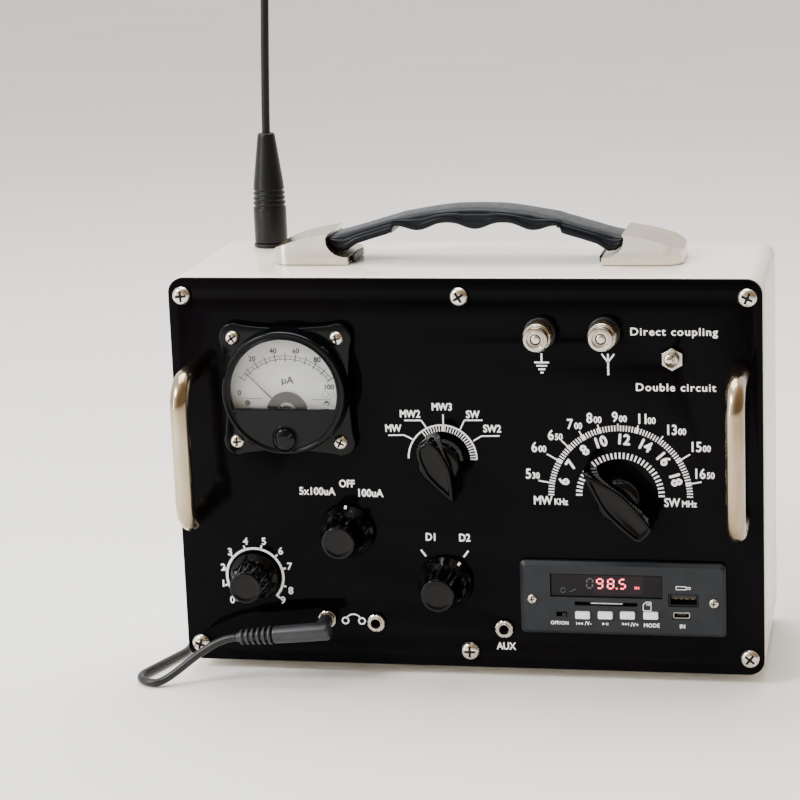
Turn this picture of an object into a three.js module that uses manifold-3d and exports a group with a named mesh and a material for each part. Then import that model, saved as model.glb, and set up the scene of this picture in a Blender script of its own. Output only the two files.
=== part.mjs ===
// Portable crystal-detector receiver in a sheet-steel instrument case, with a
// microammeter, pointer dials, a small player module, binding posts, a top
// carry handle, two front pull handles and a whip antenna.
// Millimetres, +X right, +Y to the back, +Z up. Built in panel coordinates
// (X from the panel's centre, Y = 0 at the panel's front face, Z = 0 at the
// panel's bottom edge), then moved so that the origin is the middle of the
// footprint on the resting plane.
import * as THREE from 'three';
import { mergeVertices } from 'three/addons/utils/BufferGeometryUtils.js';
import Module from 'manifold-3d';

const wasm = await Module();
wasm.setup();

// ---------------------------------------------------------------- dimensions
const CASE_W = 260, CASE_H = 176, CASE_D = 90;   // outside of the steel case
const CASE_R = 7;                                // case corner radius
const WALL = 1.2;                                // sheet thickness
const FLANGE = 13;                               // turned-in flange width
const GAP = 0.3;                                 // between touching pieces
const PANEL_T = 2.0;                             // front panel thickness
const RIM = 0.4;                                 // rear cover to case clearance
const FOOT_H = 4, FOOT_R = 6.5;                  // rubber feet
const SCREW_X = 123.5, SCREW_ZL = 8, SCREW_ZH = 168, SCREW_HEAD_R = 4.2;

const PULL_XL = -116.8, PULL_XR = 120.4, PULL_ZL = 72.5, PULL_ZH = 136.5;  // pull handles, 64 mm centres
const PULL_R = 4, PULL_OUT = 34.8, PULL_BEND = 11;

const METER = { x: -77, z: 127, ear: 23.25, drum: 28.3, win: 24.5, chord: -7.2, out: 12 };
const PIVOT_DZ = -9.6;                            // meter pivot below its centre

const TUNE = { x: 68.1, z: 80.4, tip: 20.6, tail: 19.0, tailW: 10.4, hub: 10.3, h: 18.5, ang: 134 };
const BAND = { x: -9.6, z: 95.7, tip: 17.0, tail: 12.8, tailW: 9.4, hub: 10.2, h: 17.5, ang: -64 };
const RANGE = { x: -53.5, z: 62.2, skirt: 12.2, cap: 7.5, h: 20 };
const DETECT = { x: -10.2, z: 39.4, skirt: 12.3, cap: 7.6, h: 20 };
const VOLUME = { x: -97.0, z: 39.9, skirt: 11.0, cap: 7.4, h: 17.5 };
const POSTS = { ground: [34.9, 152.4], antenna: [62.7, 152.8] };
const POST_R = 6.25, POST_OUT = 15;
const TOGGLE = { x: 91.6, z: 141.6, tilt: 12 };
const JACKS = { left: [-64.4, 21.0], right: [-42.2, 19.8], aux: [15.6, 18.7] };
const MODULE = { x: 68.5, z: 34.5, w: 90, h: 33, t: 3.5, screws: 80 };

const HANDLE_Y = 45, HANDLE_END_W = 33, GRIP_W = 24;     // carry handle, centred in depth
const ANTENNA = { x: -102.5, y: 77, base: 53, total: 375 };

const CORD_R = 1.75;                               // 3.5 mm lead
const FLOOR = -FOOT_H;
const COIL = { x: -92, y: 122, r: 20.5, w: 5.3, h: 7.9 };  // mean radius, half width, height

// ------------------------------------------------------------------- helpers
function solid(g) {
  const c = new THREE.BufferGeometry();
  c.setAttribute('position', g.getAttribute('position').clone());
  if (g.index) c.setIndex(g.index.clone());
  const m = mergeVertices(c, 1e-4);
  const p = m.getAttribute('position').array, ix = m.index.array;
  const tri = [];
  for (let i = 0; i < ix.length; i += 3) {
    const a = ix[i], b = ix[i + 1], d = ix[i + 2];
    if (a !== b && b !== d && a !== d) tri.push(a, b, d);
  }
  let vol = 0;
  for (let i = 0; i < tri.length; i += 3) {
    const [a, b, d] = [tri[i] * 3, tri[i + 1] * 3, tri[i + 2] * 3];
    vol += p[a] * (p[b + 1] * p[d + 2] - p[b + 2] * p[d + 1])
         - p[a + 1] * (p[b] * p[d + 2] - p[b + 2] * p[d])
         + p[a + 2] * (p[b] * p[d + 1] - p[b + 1] * p[d]);
  }
  if (vol < 0) for (let i = 0; i < tri.length; i += 3) [tri[i + 1], tri[i + 2]] = [tri[i + 2], tri[i + 1]];
  return new wasm.Manifold(new wasm.Mesh({
    numProp: 3, vertProperties: new Float32Array(p), triVerts: new Uint32Array(tri) }));
}
function geometry(s) {
  const m = s.getMesh();
  const g = new THREE.BufferGeometry();
  const n = m.vertProperties.length / m.numProp, pos = new Float32Array(n * 3);
  for (let i = 0; i < n; i++) for (let k = 0; k < 3; k++) pos[i * 3 + k] = m.vertProperties[i * m.numProp + k];
  g.setAttribute('position', new THREE.BufferAttribute(pos, 3));
  g.setIndex(new THREE.BufferAttribute(new Uint32Array(m.triVerts), 1));
  g.computeVertexNormals();
  return g;
}
const join = (...s) => s.reduce((a, b) => a.add(b));
const cut = (a, ...s) => s.reduce((m, b) => m.subtract(b), a);

function box(x0, x1, y0, y1, z0, z1) {
  const g = new THREE.BoxGeometry(x1 - x0, y1 - y0, z1 - z0);
  g.translate((x0 + x1) / 2, (y0 + y1) / 2, (z0 + z1) / 2);
  return solid(g);
}
// cylinder along Y; r0 is the radius at y0, r1 at y1
function cylY(x, z, r0, y0, y1, seg = 20, r1 = r0) {
  const g = new THREE.CylinderGeometry(r1, r0, y1 - y0, seg);
  g.translate(x, (y0 + y1) / 2, z);
  return solid(g);
}
function cylZ(x, y, r0, z0, z1, seg = 20, r1 = r0) {
  const g = new THREE.CylinderGeometry(r1, r0, z1 - z0, seg);
  g.rotateX(Math.PI / 2);
  g.translate(x, y, (z0 + z1) / 2);
  return solid(g);
}
function cylX(y, z, r, x0, x1, seg = 20) {
  const g = new THREE.CylinderGeometry(r, r, x1 - x0, seg);
  g.rotateZ(Math.PI / 2);
  g.translate((x0 + x1) / 2, y, z);
  return solid(g);
}
// turned piece about a Y axis through (x, z); profile rows are [radius, y]
function latheY(x, z, profile, seg = 20, turn = 0) {
  const g = new THREE.LatheGeometry(profile.map(([r, y]) => new THREE.Vector2(r, y)), seg);
  if (turn) g.rotateY(turn);
  g.translate(x, 0, z);
  return solid(g);
}
// turned piece about a Z axis through (x, y); profile rows are [radius, z]
function latheZ(x, y, profile, seg = 20) {
  const g = new THREE.LatheGeometry(profile.map(([r, z]) => new THREE.Vector2(r, z)), seg);
  g.rotateX(Math.PI / 2);
  g.translate(x, y, 0);
  return solid(g);
}
// outline in the X-Z plane, extruded from y0 to y1
function slabXZ(shape, y0, y1, seg = 4) {
  const g = new THREE.ExtrudeGeometry(shape, { depth: y1 - y0, bevelEnabled: false, curveSegments: seg });
  g.rotateX(Math.PI / 2);
  g.translate(0, y1, 0);
  return solid(g);
}
function rounded(w, h, r, cx = 0, cz = 0) {
  const s = new THREE.Shape();
  const x0 = cx - w / 2, x1 = cx + w / 2, z0 = cz - h / 2, z1 = cz + h / 2;
  s.moveTo(x0 + r, z0);
  s.lineTo(x1 - r, z0); s.absarc(x1 - r, z0 + r, r, -Math.PI / 2, 0, false);
  s.lineTo(x1, z1 - r); s.absarc(x1 - r, z1 - r, r, 0, Math.PI / 2, false);
  s.lineTo(x0 + r, z1); s.absarc(x0 + r, z1 - r, r, Math.PI / 2, Math.PI, false);
  s.lineTo(x0, z0 + r); s.absarc(x0 + r, z0 + r, r, Math.PI, Math.PI * 1.5, false);
  return s;
}
function polygon(points) {
  return new THREE.Shape(points.map(([a, b]) => new THREE.Vector2(a, b)));
}
// a path through listed stations, so a sweep puts its rings just where they are needed
class Route extends THREE.Curve {
  constructor(points) { super(); this.points = points.map(p => new THREE.Vector3(...p)); }
  getPoint(t, target = new THREE.Vector3()) {
    const n = this.points.length - 1, f = Math.min(Math.max(t, 0), 1) * n, i = Math.min(Math.floor(f), n - 1);
    return target.lerpVectors(this.points[i], this.points[i + 1], f - i);
  }
  getPointAt(u, target) { return this.getPoint(u, target); }
  getTangent(t, target = new THREE.Vector3()) {
    const n = this.points.length - 1, i = Math.round(Math.min(Math.max(t, 0), 1) * n);
    const a = this.points[Math.max(i - 1, 0)], b = this.points[Math.min(i + 1, n)], c = this.points[i];
    if (i === 0 || i === n) return target.subVectors(b, a).normalize();
    const u = new THREE.Vector3().subVectors(c, a).normalize(), v = new THREE.Vector3().subVectors(b, c).normalize();
    return target.addVectors(u, v).normalize();
  }
  getTangentAt(u, target) { return this.getTangent(u, target); }
  getSpacedPoints(n) { return Array.from({ length: n + 1 }, (_, i) => this.getPoint(i / n)); }
}
function sweep(points, r, sides) {
  const ring = new THREE.Shape(Array.from({ length: sides }, (_, i) =>
    new THREE.Vector2(r * Math.cos(i * 2 * Math.PI / sides), r * Math.sin(i * 2 * Math.PI / sides))));
  return solid(new THREE.ExtrudeGeometry(ring, {
    steps: points.length - 1, bevelEnabled: false, extrudePath: new Route(points) }));
}

const set = new THREE.Group();
const finish = {};
function material(key, color, roughness, metalness, extra = {}) {
  finish[key] = new THREE.MeshStandardMaterial({ color, roughness, metalness, name: key, ...extra });
}
material('cream_paint', 0xe9e4d8, 0.45, 0.0);
material('black_gloss', 0x08080a, 0.08, 0.0);
material('black_bakelite', 0x0b0b0c, 0.22, 0.0);
material('black_satin', 0x141517, 0.5, 0.0);
material('black_rubber', 0x17181a, 0.75, 0.0);
material('grip_rubber', 0x2b3138, 0.6, 0.0);
material('chrome', 0xd8d9da, 0.12, 1.0);
material('nickel', 0xc9c7c2, 0.28, 1.0);
material('steel', 0x9a9a98, 0.4, 1.0);
material('aluminium', 0xb9babb, 0.35, 1.0);
material('brass', 0xb99a52, 0.35, 1.0);
material('clear', 0xf4f6f6, 0.05, 0.0, { transparent: true, opacity: 0.3 });
material('dial_white', 0xefeee8, 0.6, 0.0);
material('module_grey', 0x2c3238, 0.5, 0.0);
material('display_dark', 0x120608, 0.1, 0.0);
material('button_white', 0xe6e7e8, 0.4, 0.0);
material('board_green', 0x1e4a30, 0.5, 0.0);
material('winding', 0x8a4a22, 0.5, 0.3);

function add(name, s, key) {
  const m = new THREE.Mesh(geometry(s), finish[key]);
  m.name = name;
  set.add(m);
  return m;
}

// ------------------------------------------------------------ case and panel
const inner = rounded(CASE_W - 2 * WALL, CASE_H - 2 * WALL, CASE_R - WALL, 0, CASE_H / 2);
const flangeHole = rounded(CASE_W - 2 * FLANGE, CASE_H - 2 * FLANGE, 3, 0, CASE_H / 2);
const screwSpots = [];
for (const z of [SCREW_ZL, SCREW_ZH]) for (const x of [-SCREW_X, 0, SCREW_X]) screwSpots.push([x, z]);
{
  let shell = slabXZ(rounded(CASE_W, CASE_H, CASE_R, 0, CASE_H / 2), PANEL_T + GAP, CASE_D);
  shell = cut(shell,
    slabXZ(flangeHole, 0, CASE_D + 1, 1),
    slabXZ(inner, PANEL_T + GAP + WALL, CASE_D - 3),
    slabXZ(inner, CASE_D - 1.8, CASE_D + 1));
  for (const [x, z] of screwSpots) shell = cut(shell, cylY(x, z, 2.4, 1, 5, 8));
  shell = cut(shell, cylZ(ANTENNA.x, ANTENNA.y, 4.6, CASE_H - 3, CASE_H + 1, 10));
  add('case_shell', shell, 'cream_paint');
}
{
  // pressed-in rear cover with vent slots and a loudspeaker grille
  let cover = slabXZ(rounded(CASE_W - 2 * WALL - 2 * RIM, CASE_H - 2 * WALL - 2 * RIM, CASE_R - WALL, 0, CASE_H / 2),
    CASE_D - 1.5, CASE_D - 0.3);
  for (let i = 0; i < 7; i++) {
    const z = 110 + (i - 3) * 7, half = Math.sqrt(Math.max(0, 25 * 25 - ((i - 3) * 7) ** 2));
    cover = cut(cover, box(60 - half, 60 + half, CASE_D - 3, CASE_D + 1, z - 1.5, z + 1.5));
  }
  for (let i = 0; i < 6; i++) cover = cut(cover, box(-95 + i * 9, -92 + i * 9, CASE_D - 3, CASE_D + 1, 118, 146));
  add('rear_cover', cover, 'cream_paint');
}
{
  let panel = slabXZ(rounded(CASE_W - 0.4, CASE_H - 0.4, CASE_R - 0.2, 0, CASE_H / 2), 0, PANEL_T);   // covers the case front
  const holes = [];
  for (const [x, z] of screwSpots) holes.push([x, z, 2.3]);
  for (const k of [RANGE, DETECT, BAND, TUNE]) holes.push([k.x, k.z, 4.9]);
  holes.push([VOLUME.x, VOLUME.z, 4.0], [TOGGLE.x, TOGGLE.z, 3.4]);
  for (const [x, z] of Object.values(JACKS)) holes.push([x, z, 3.2]);
  for (const [x, z] of Object.values(POSTS)) holes.push([x, z, 3.3]);
  for (const [x, z, r] of holes) panel = cut(panel, cylY(x, z, r * 1.06, -1, 3, 8));
  panel = cut(panel, cylY(METER.x, METER.z, 25.4, -1, 3, 20));
  panel = cut(panel, box(MODULE.x - 42.5, MODULE.x + 42.5, -1, 3, MODULE.z - 14, MODULE.z + 14));
  add('front_panel', panel, 'black_gloss');
}
screwSpots.forEach(([x, z], i) => {
  add(`panel_screw_${i + 1}`, latheY(x, z, [
    [0, -2.9], [2.4, -2.6], [SCREW_HEAD_R, -GAP], [2.0, -GAP], [2.0, 7.5], [0, 7.5]], 10), 'nickel');
});
[[-108, 20], [108, 20], [-108, 72], [108, 72]].forEach(([x, y], i) => {
  add(`foot_${i + 1}`, latheZ(x, y, [[0, FLOOR], [FOOT_R - 0.8, FLOOR], [FOOT_R, FLOOR + 0.8], [FOOT_R - 0.6, -GAP], [0, -GAP]], 12), 'black_rubber');
});

// --------------------------------------------------------- front pull handles
for (const [side, x] of [['left', PULL_XL], ['right', PULL_XR]]) {
  const route = [[x, -GAP, PULL_ZL]];
  const arc = (cy, cz, a0, a1) => {
    for (let i = 0; i <= 5; i++) {
      const a = (a0 + (a1 - a0) * i / 5) * Math.PI / 180;
      route.push([x, cy + PULL_BEND * Math.cos(a), cz + PULL_BEND * Math.sin(a)]);
    }
  };
  arc(-PULL_OUT + PULL_BEND, PULL_ZL + PULL_BEND, 270, 180);
  arc(-PULL_OUT + PULL_BEND, PULL_ZH - PULL_BEND, 180, 90);
  route.push([x, -GAP, PULL_ZH]);
  add(`${side}_pull_handle`, sweep(route, PULL_R, 12), 'chrome');
}

// --------------------------------------------------------------- carry handle
{
  const along = x => 1.55 + 0.9834 * x;              // sits a little right of centre
  const top = [[0, 24.7], [10, 24.4], [22, 23.0], [32, 21.2], [41, 19.0], [55, 15.0], [61, 13.4], [67.3, 11.8]];
  const seam = [[67.3, 11.8], [67.0, 9.6], [65.6, 7.2], [63.2, 5.2], [60.0, 4.1]];
  const under = [[55, 8.4], [48, 10.6], [41, 12.6], [39.2, 13.2], [38.4, 15.6]];
  const wave = [];
  for (let x = 38; x >= -38; x -= 3.8) {
    const bump = Math.pow(Math.cos(Math.PI * x / 26), 2);      // ridges between the fingers at 0 and +-26
    wave.push([x, 17.9 - 2.9 * Math.pow(bump, 1.4) - 1.6 * Math.pow(Math.abs(x) / 38, 3)]);
  }
  const mirror = list => list.map(([x, z]) => [-x, z]);
  const outline = [
    ...mirror(top).reverse().slice(0, -1), ...top,
    ...seam.slice(1), ...under, ...wave.slice(1, -1),
    ...mirror(under).reverse(), ...mirror(seam.slice(1)).reverse()];
  const y0 = HANDLE_Y - GRIP_W / 2, y1 = HANDLE_Y + GRIP_W / 2;
  const grip = slabXZ(polygon(outline.map(([x, z]) => [along(x), CASE_H + z]).reverse()), y0, y1);
  add('carry_grip', grip, 'grip_rubber');

  // end blocks: low curved shoes, rounded in plan, with a hollow seat for the grip's end
  for (const [side, s] of [['left', -1], ['right', 1]]) {
    const profile = [[57.6, GAP], [93.5, GAP], [93.5, 6.2], [91.5, 7.6], [86, 9.6], [78, 11.8], [70, 13.2], [66.8, 13.6],
      [67.7, 11.9], [67.4, 9.5], [65.9, 6.9], [63.4, 4.8], [60.0, 3.7], [57.6, 3.5]];
    const plan = new THREE.Shape();
    const yA = HANDLE_Y - HANDLE_END_W / 2, yB = HANDLE_Y + HANDLE_END_W / 2, R = 9;
    plan.moveTo(56, yA);
    plan.lineTo(93.5 - R, yA); plan.absarc(93.5 - R, yA + R, R, -Math.PI / 2, 0, false);
    plan.lineTo(93.5, yB - R); plan.absarc(93.5 - R, yB - R, R, 0, Math.PI / 2, false);
    plan.lineTo(56, yB);
    const tall = new THREE.ExtrudeGeometry(plan, { depth: 30, bevelEnabled: false, curveSegments: 6 });
    tall.translate(0, 0, CASE_H - 5);
    let shoe = slabXZ(polygon(profile.map(([x, z]) => [x, CASE_H + z])), yA - 1, yB + 1).intersect(solid(tall));
    // side cheeks run past the grip's end on both sides
    if (s < 0) shoe = shoe.mirror([1, 0, 0]);
    shoe = shoe.scale([0.9834, 1, 1]).translate([1.55, 0, 0]);
    add(`carry_handle_end_${side}`, shoe, 'chrome');
  }
}

// -------------------------------------------------------------------- antenna
{
  const { x, y, base, total } = ANTENNA, Z = CASE_H;
  add('antenna_socket', latheZ(x, y, [[0, Z - 8], [4.0, Z - 8], [4.0, Z + GAP], [8.0, Z + GAP], [8.0, Z + 1.8], [3.0, Z + 1.8], [3.0, Z + 6], [0, Z + 6]], 12), 'nickel');
  const z0 = Z + 2.1;
  add('antenna_base', latheZ(x, y, [
    [3.4, z0], [7.6, z0], [7.6, Z + 19], [7.0, Z + 28], [5.0, Z + 36], [3.7, Z + base], [2.2, Z + base], [2.2, Z + 44],
    [0, Z + 43.5], [0, Z + 7.5], [3.4, Z + 7], [3.4, z0]], 12), 'black_rubber');
  // the whip stands with a slight lean to the right
  const lean = h => 0.047 * h - 0.45 * (1 - Math.exp(-h / 18));
  const rod = [];
  for (const h of [-1, 0, 6, 12, 20, 32, 60, 110, 180, 250, 315.5]) rod.push([x + lean(Math.max(h, 0)), y, Z + base + h]);
  const tip = x + lean(318);
  add('antenna_whip', join(cylZ(x, y, 1.9, Z + 44, Z + base, 8), sweep(rod, 1.7, 8),
    latheZ(tip, y, [[0, Z + total - 8], [1.6, Z + total - 8], [2.3, Z + total - 6], [2.3, Z + total], [0, Z + total]], 8)), 'black_rubber');
}

// ---------------------------------------------------------------------- meter
{
  const { x, z, ear, drum, win, chord, out } = METER;
  const e = 6.4, flange = new THREE.Shape();
  for (let q = 0; q < 4; q++) {
    const a = q * Math.PI / 2 + Math.PI / 4, cx = x + ear * Math.SQRT2 * Math.cos(a), cz = z + ear * Math.SQRT2 * Math.sin(a);
    const a0 = a - 1.25, a1 = a + 1.25;
    const px = cx + e * Math.cos(a0), pz = cz + e * Math.sin(a0);
    if (q === 0) flange.moveTo(px, pz);
    else {
      const m = a - Math.PI / 4;
      flange.quadraticCurveTo(x + 26.2 * Math.cos(m), z + 26.2 * Math.sin(m), px, pz);
    }
    flange.absarc(cx, cz, e, a0, a1, false);
  }
  flange.quadraticCurveTo(x + 26.2, z, x + ear + e * Math.cos(Math.PI / 4 - 1.25), z + ear + e * Math.sin(Math.PI / 4 - 1.25));
  let body = join(
    slabXZ(flange, -4.6, -GAP, 3),
    cylY(x, z, drum - 0.8, -out, -4, 28, drum),
    cylY(x, z, 24.6, -1, 30, 20));
  // window: a circle with its foot cut off by a chord
  const pane = r => {
    const a = Math.asin((chord) / r), s = new THREE.Shape();
    s.moveTo(x + r * Math.cos(a), z + chord);
    s.absarc(x, z, r, a, Math.PI - a, false);
    return s;
  };
  body = cut(body, slabXZ(pane(win), -out - 1, -8, 12), cylY(x, z, 22.4, 2, 28, 20), slabXZ(pane(win), -8.5, 2.5, 12),
    box(x - 9, x + 9, -8.6, 2.5, z + PIVOT_DZ - 7, z + chord + 0.5));
  add('meter_housing', body, 'black_gloss');
  add('meter_window', slabXZ(pane(win - 0.4), -out + 0.6, -out + 2.2, 12), 'clear');
  const plateShape = pane(win - 0.5);
  const plate = cut(slabXZ(plateShape, -4.8, -4.0, 12), cylY(x, z + PIVOT_DZ, 6, -6, -3, 10));
  add('meter_scale_plate', plate, 'dial_white');
  // moving coil, spindle, tail weight and pointer, drawn with the pointer at zero
  const zp = z + PIVOT_DZ, L = 24.6;
  const needle = new THREE.BoxGeometry(L - 2, 0.5, 0.7); needle.translate((L + 2) / 2, -6.4, 0); needle.rotateY(-Math.PI * 0.75); needle.translate(x, 0, zp);
  const tail = new THREE.BoxGeometry(5.5, 0.8, 1.4); tail.translate(-2.9, -6.4, 0); tail.rotateY(-Math.PI * 0.75); tail.translate(x, 0, zp);
  add('meter_movement', join(cylY(x, zp, 2.2, -7.2, 20, 12), solid(needle), solid(tail), box(x - 7, x + 7, 5, 18, zp - 6, zp + 6)), 'black_satin');
  const zs = z - 20.4;
  add('meter_zero_screw', cut(cylY(x, zs, 4.9, -out - 1.9, -out - GAP, 14), box(x - 6, x + 6, -out - 3, -out - 1.1, zs - 0.6, zs + 0.6)), 'black_bakelite');
}

// --------------------------------------------------- switches, pot and knobs
// rotary body: nut and bushing through the panel, can behind it, blind bore for the spindle
function rotaryBody(name, k, canR, canD, bush = 4.5) {
  add(name, latheY(k.x, k.z, [[3.4, -2.4], [bush + 1.9, -2.4], [bush + 1.9, -GAP], [bush, -GAP], [bush, PANEL_T + GAP],
    [canR, PANEL_T + GAP], [canR, canD], [0, canD], [0, 9], [3.4, 9], [3.4, -2.4]], 12), 'steel');
}
rotaryBody('band_switch', BAND, 13, 30);
rotaryBody('range_switch', RANGE, 12, 22);
rotaryBody('detector_switch', DETECT, 12, 20);
rotaryBody('volume_pot', VOLUME, 8.5, 13, 3.7);

// fluted instrument knob with a bell skirt, on its own spindle
function roundKnob(name, k) {
  const y = v => -v;
  add(name, latheY(k.x, k.z, [[3.0, 8], [0, 8], [0, y(k.h)], [k.cap, y(k.h)], [k.cap + 1.4, y(6.5)], [k.skirt, y(2.6)], [k.skirt, y(1.2)], [7.2, y(1.2)], [7.2, y(4.4)], [3.0, y(4.4)], [3.0, 8]], 16), 'black_bakelite');
}
roundKnob('range_knob', RANGE);
roundKnob('detector_knob', DETECT);
roundKnob('volume_knob', VOLUME);

// pointer knob: round foot, long tapering bar standing up from it
function pointerOutline(k) {
  const w = k.tailW / 2, h = k.hub * 0.62;
  return polygon([[k.tip, 0.5], [k.tip * 0.62, 3.4], [k.tip * 0.25, 5.7], [0, h], [-k.tail * 0.5, h - 0.3], [-k.tail + 2.2, w],
    [-k.tail + 0.4, w - 1.8], [-k.tail, w - 3.4], [-k.tail, -w + 3.4], [-k.tail + 0.4, -w + 1.8], [-k.tail + 2.2, -w],
    [-k.tail * 0.5, -h + 0.3], [0, -h], [k.tip * 0.25, -5.7], [k.tip * 0.62, -3.4], [k.tip, -0.5]]);
}
function pointerKnob(name, k, shaftEnd) {
  const g = new THREE.ExtrudeGeometry(pointerOutline(k), { depth: k.h - 2.2, bevelEnabled: false });
  g.rotateX(Math.PI / 2); g.translate(0, -2.2, 0);
  g.rotateY(-k.ang * Math.PI / 180); g.translate(k.x, 0, k.z);
  const foot = latheY(k.x, k.z, [[0, -1.2], [k.hub, -1.2], [k.hub, -4], [k.hub - 1.6, -11], [0, -11]], 20);
  let s = join(solid(g), foot);
  s = cut(s, cylY(k.x, k.z, 7.0, -4.4, 0, 10));
  s = join(s, cylY(k.x, k.z, 3.0, -6, shaftEnd, 10));
  return s;
}
add('band_knob', pointerKnob('band_knob', BAND, 8), 'black_bakelite');

// --------------------------------------------------------- tuning capacitor
{
  const { x, z } = TUNE;
  add('tuning_knob', pointerKnob('tuning_knob', TUNE, 6), 'black_bakelite');
  let frame = join(
    box(x - 22, x + 22, 8, 9.5, z - 22, z + 22),
    box(x - 22, x + 22, 40, 41.5, z - 22, z + 22),
    box(x - 22, x - 19.5, 9, 41, z - 20, z + 20),
    box(x - 8, x + 8, 9, 41, z - 22, z - 20),
    cylY(x, z, 4.5, -2.4, 8.5, 12));
  for (const y of [15, 20, 25]) frame = join(frame, box(x - 20, x - 5.5, y, y + 1, z - 17, z + 17));
  frame = cut(frame, cylY(x, z, 3.45, -6, 39, 12));
  add('tuning_capacitor', frame, 'aluminium');
  // spindle with its half-round vanes, coupled end to end with the knob
  let rotor = cylY(x, z, 3.0, 6.3, 38.6, 10);
  const half = new THREE.Shape();
  half.moveTo(x, z - 16.5); half.absarc(x, z, 16.5, -Math.PI / 2, Math.PI / 2, false);
  for (const y of [12.5, 17.5, 22.5, 27.5]) rotor = join(rotor, slabXZ(half, y, y + 1, 7));
  add('tuning_rotor', rotor, 'aluminium');
}

// ------------------------------------------------------------- toggle switch
{
  const { x, z, tilt } = TOGGLE;
  const body = join(
    box(x - 6.5, x + 6.5, PANEL_T + GAP, 13, z - 4.2, z + 4.2),
    cylY(x, z, 3.1, -6.2, 4, 10),
    cylY(x, z, 5.0, -2.6, -GAP, 6));
  add('toggle_switch', cut(body, cylY(x, z, 2.6, -7, 3.5, 10)), 'nickel');
  const lever = new THREE.LatheGeometry([[0, 2.0], [1.3, 1.6], [2.0, 0], [1.3, -1.6], [1.2, -8], [1.9, -15.5], [2.1, -17], [1.4, -18.3], [0, -18.6]]
    .map(([r, y]) => new THREE.Vector2(r, y)), 8);
  lever.rotateX(tilt * Math.PI / 180 * -1);
  lever.translate(x, -1.0, z);
  add('toggle_lever', solid(lever), 'nickel');
}

// -------------------------------------------------------------- binding posts
for (const [name, [x, z]] of Object.entries(POSTS)) {
  add(`${name}_post_base`, latheY(x, z, [[0, -12], [1.9, -12], [1.9, -3.4], [7.0, -3.4], [7.2, -GAP], [3.0, -GAP], [3.0, PANEL_T + GAP],
    [6.6, PANEL_T + GAP], [6.6, 5.2], [2.0, 5.2], [2.0, 15], [0, 15]], 10), 'black_satin');
  add(`${name}_post_cap`, latheY(x, z, [[2.3, -3.7], [5.4, -3.7], [POST_R, -5.4], [POST_R, -11.4], [5.3, -12], [5.3, -POST_OUT], [2.3, -POST_OUT],
    [2.3, -3.7]], 12), 'chrome');
}

// ---------------------------------------------------------------------- jacks
for (const [name, [x, z]] of Object.entries(JACKS)) {
  const body = join(
    box(x - 4.8, x + 4.8, PANEL_T + GAP, 15, z - 5, z + 5),
    cylY(x, z, 2.9, -2.6, 4, 8),
    cylY(x, z, 4.1, -1.9, -GAP, 8));
  add(name === 'aux' ? 'aux_jack' : `phones_jack_${name}`, cut(body, cylY(x, z, 2.05, -3, 14, 8)), 'nickel');
}

// -------------------------------------------------------------- player module
{
  const { x, z, w, h, t, screws } = MODULE, y0 = -t - GAP, y1 = -GAP;
  const g = new THREE.ExtrudeGeometry(rounded(w - 3, h - 3, 2.2, x, z), {
    depth: t - 1.5, bevelEnabled: true, bevelThickness: 1.5, bevelSize: 1.5, bevelSegments: 1, curveSegments: 3 });
  g.rotateX(Math.PI / 2); g.translate(0, -GAP, 0);
  let plate = solid(g);
  plate = cut(plate, box(x - w, x + w, -GAP, 5, z - h, z + h));     // flat back
  const B = [[51.05, 27.1], [61.0, 27.3], [70.75, 27.5], [80.9, 27.7]];       // button centres
  plate = cut(plate,
    box(36.7, 86.2, y0 - 1, 1, 34.9, 45.9),                          // display window
    box(47.4, 75.3, y0 - 1, 1, 31.1, 33.4),                          // card slot
    box(39.2, 44.2, y0 - 1, 1, 25.9, 28.5),                          // slide switch slot
    box(88.4, 101.9, y0 - 1, 1, 31.6, 38.0),                         // host socket
    box(90.1, 98.3, y0 - 1, 1, 25.9, 29.6));                         // supply socket
  for (const [bx, bz] of B) plate = cut(plate, box(bx - 3.6, bx + 3.6, y0 - 1, 1, bz - 2.0, bz + 2.0));
  for (const sx of [-screws / 2, screws / 2]) plate = cut(plate, cylY(x + sx, z - 0.4, 1.7, y0 - 1, 1, 10));
  add('module_faceplate', plate, 'module_grey');
  add('module_display', box(37.1, 85.8, y0 + 0.7, 0.4, 35.3, 45.5), 'display_dark');
  B.forEach(([bx, bz], i) => add(`module_button_${i + 1}`, box(bx - 3.25, bx + 3.25, y0 - 1.2, -0.2, bz - 1.65, bz + 1.65), 'button_white'));
  add('module_slide_switch', box(42.0, 43.8, y0 - 1.0, 0.2, 26.25, 28.15), 'black_satin');
  let board = join(
    box(x - 41.5, x + 41.5, 3.4, 5.0, z - 13, z + 13),
    box(88.8, 101.5, -t + 0.3, 4.0, 32.0, 37.6),
    box(90.5, 97.9, -t + 0.3, 4.0, 26.3, 29.2),
    box(47.9, 74.8, 1.0, 4.0, 31.5, 33.0));
  board = cut(board, box(89.3, 101.0, -t - 1, 2.9, 32.5, 37.1), box(91.0, 97.4, -t - 1, 2.9, 26.8, 28.7));
  add('module_board', board, 'board_green');
}

// ------------------------------------------------------------ pieces inside
add('coil_former', latheXTube(-22, 30, 60, 140, 18, 15.5), 'winding');
function latheXTube(x0, x1, y, z, R, r) {
  return cut(cylX(y, z, R, x0, x1, 16), cylX(y, z, r, x0 - 1, x1 + 1, 16));
}
add('loudspeaker', latheY(60, 110, [[0, 60], [13, 60], [13, 70], [16, 71], [26, 82], [30, 84], [30, CASE_D - 1.8], [26, CASE_D - 1.8], [9, 78], [0, 76]], 16), 'steel');

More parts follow.
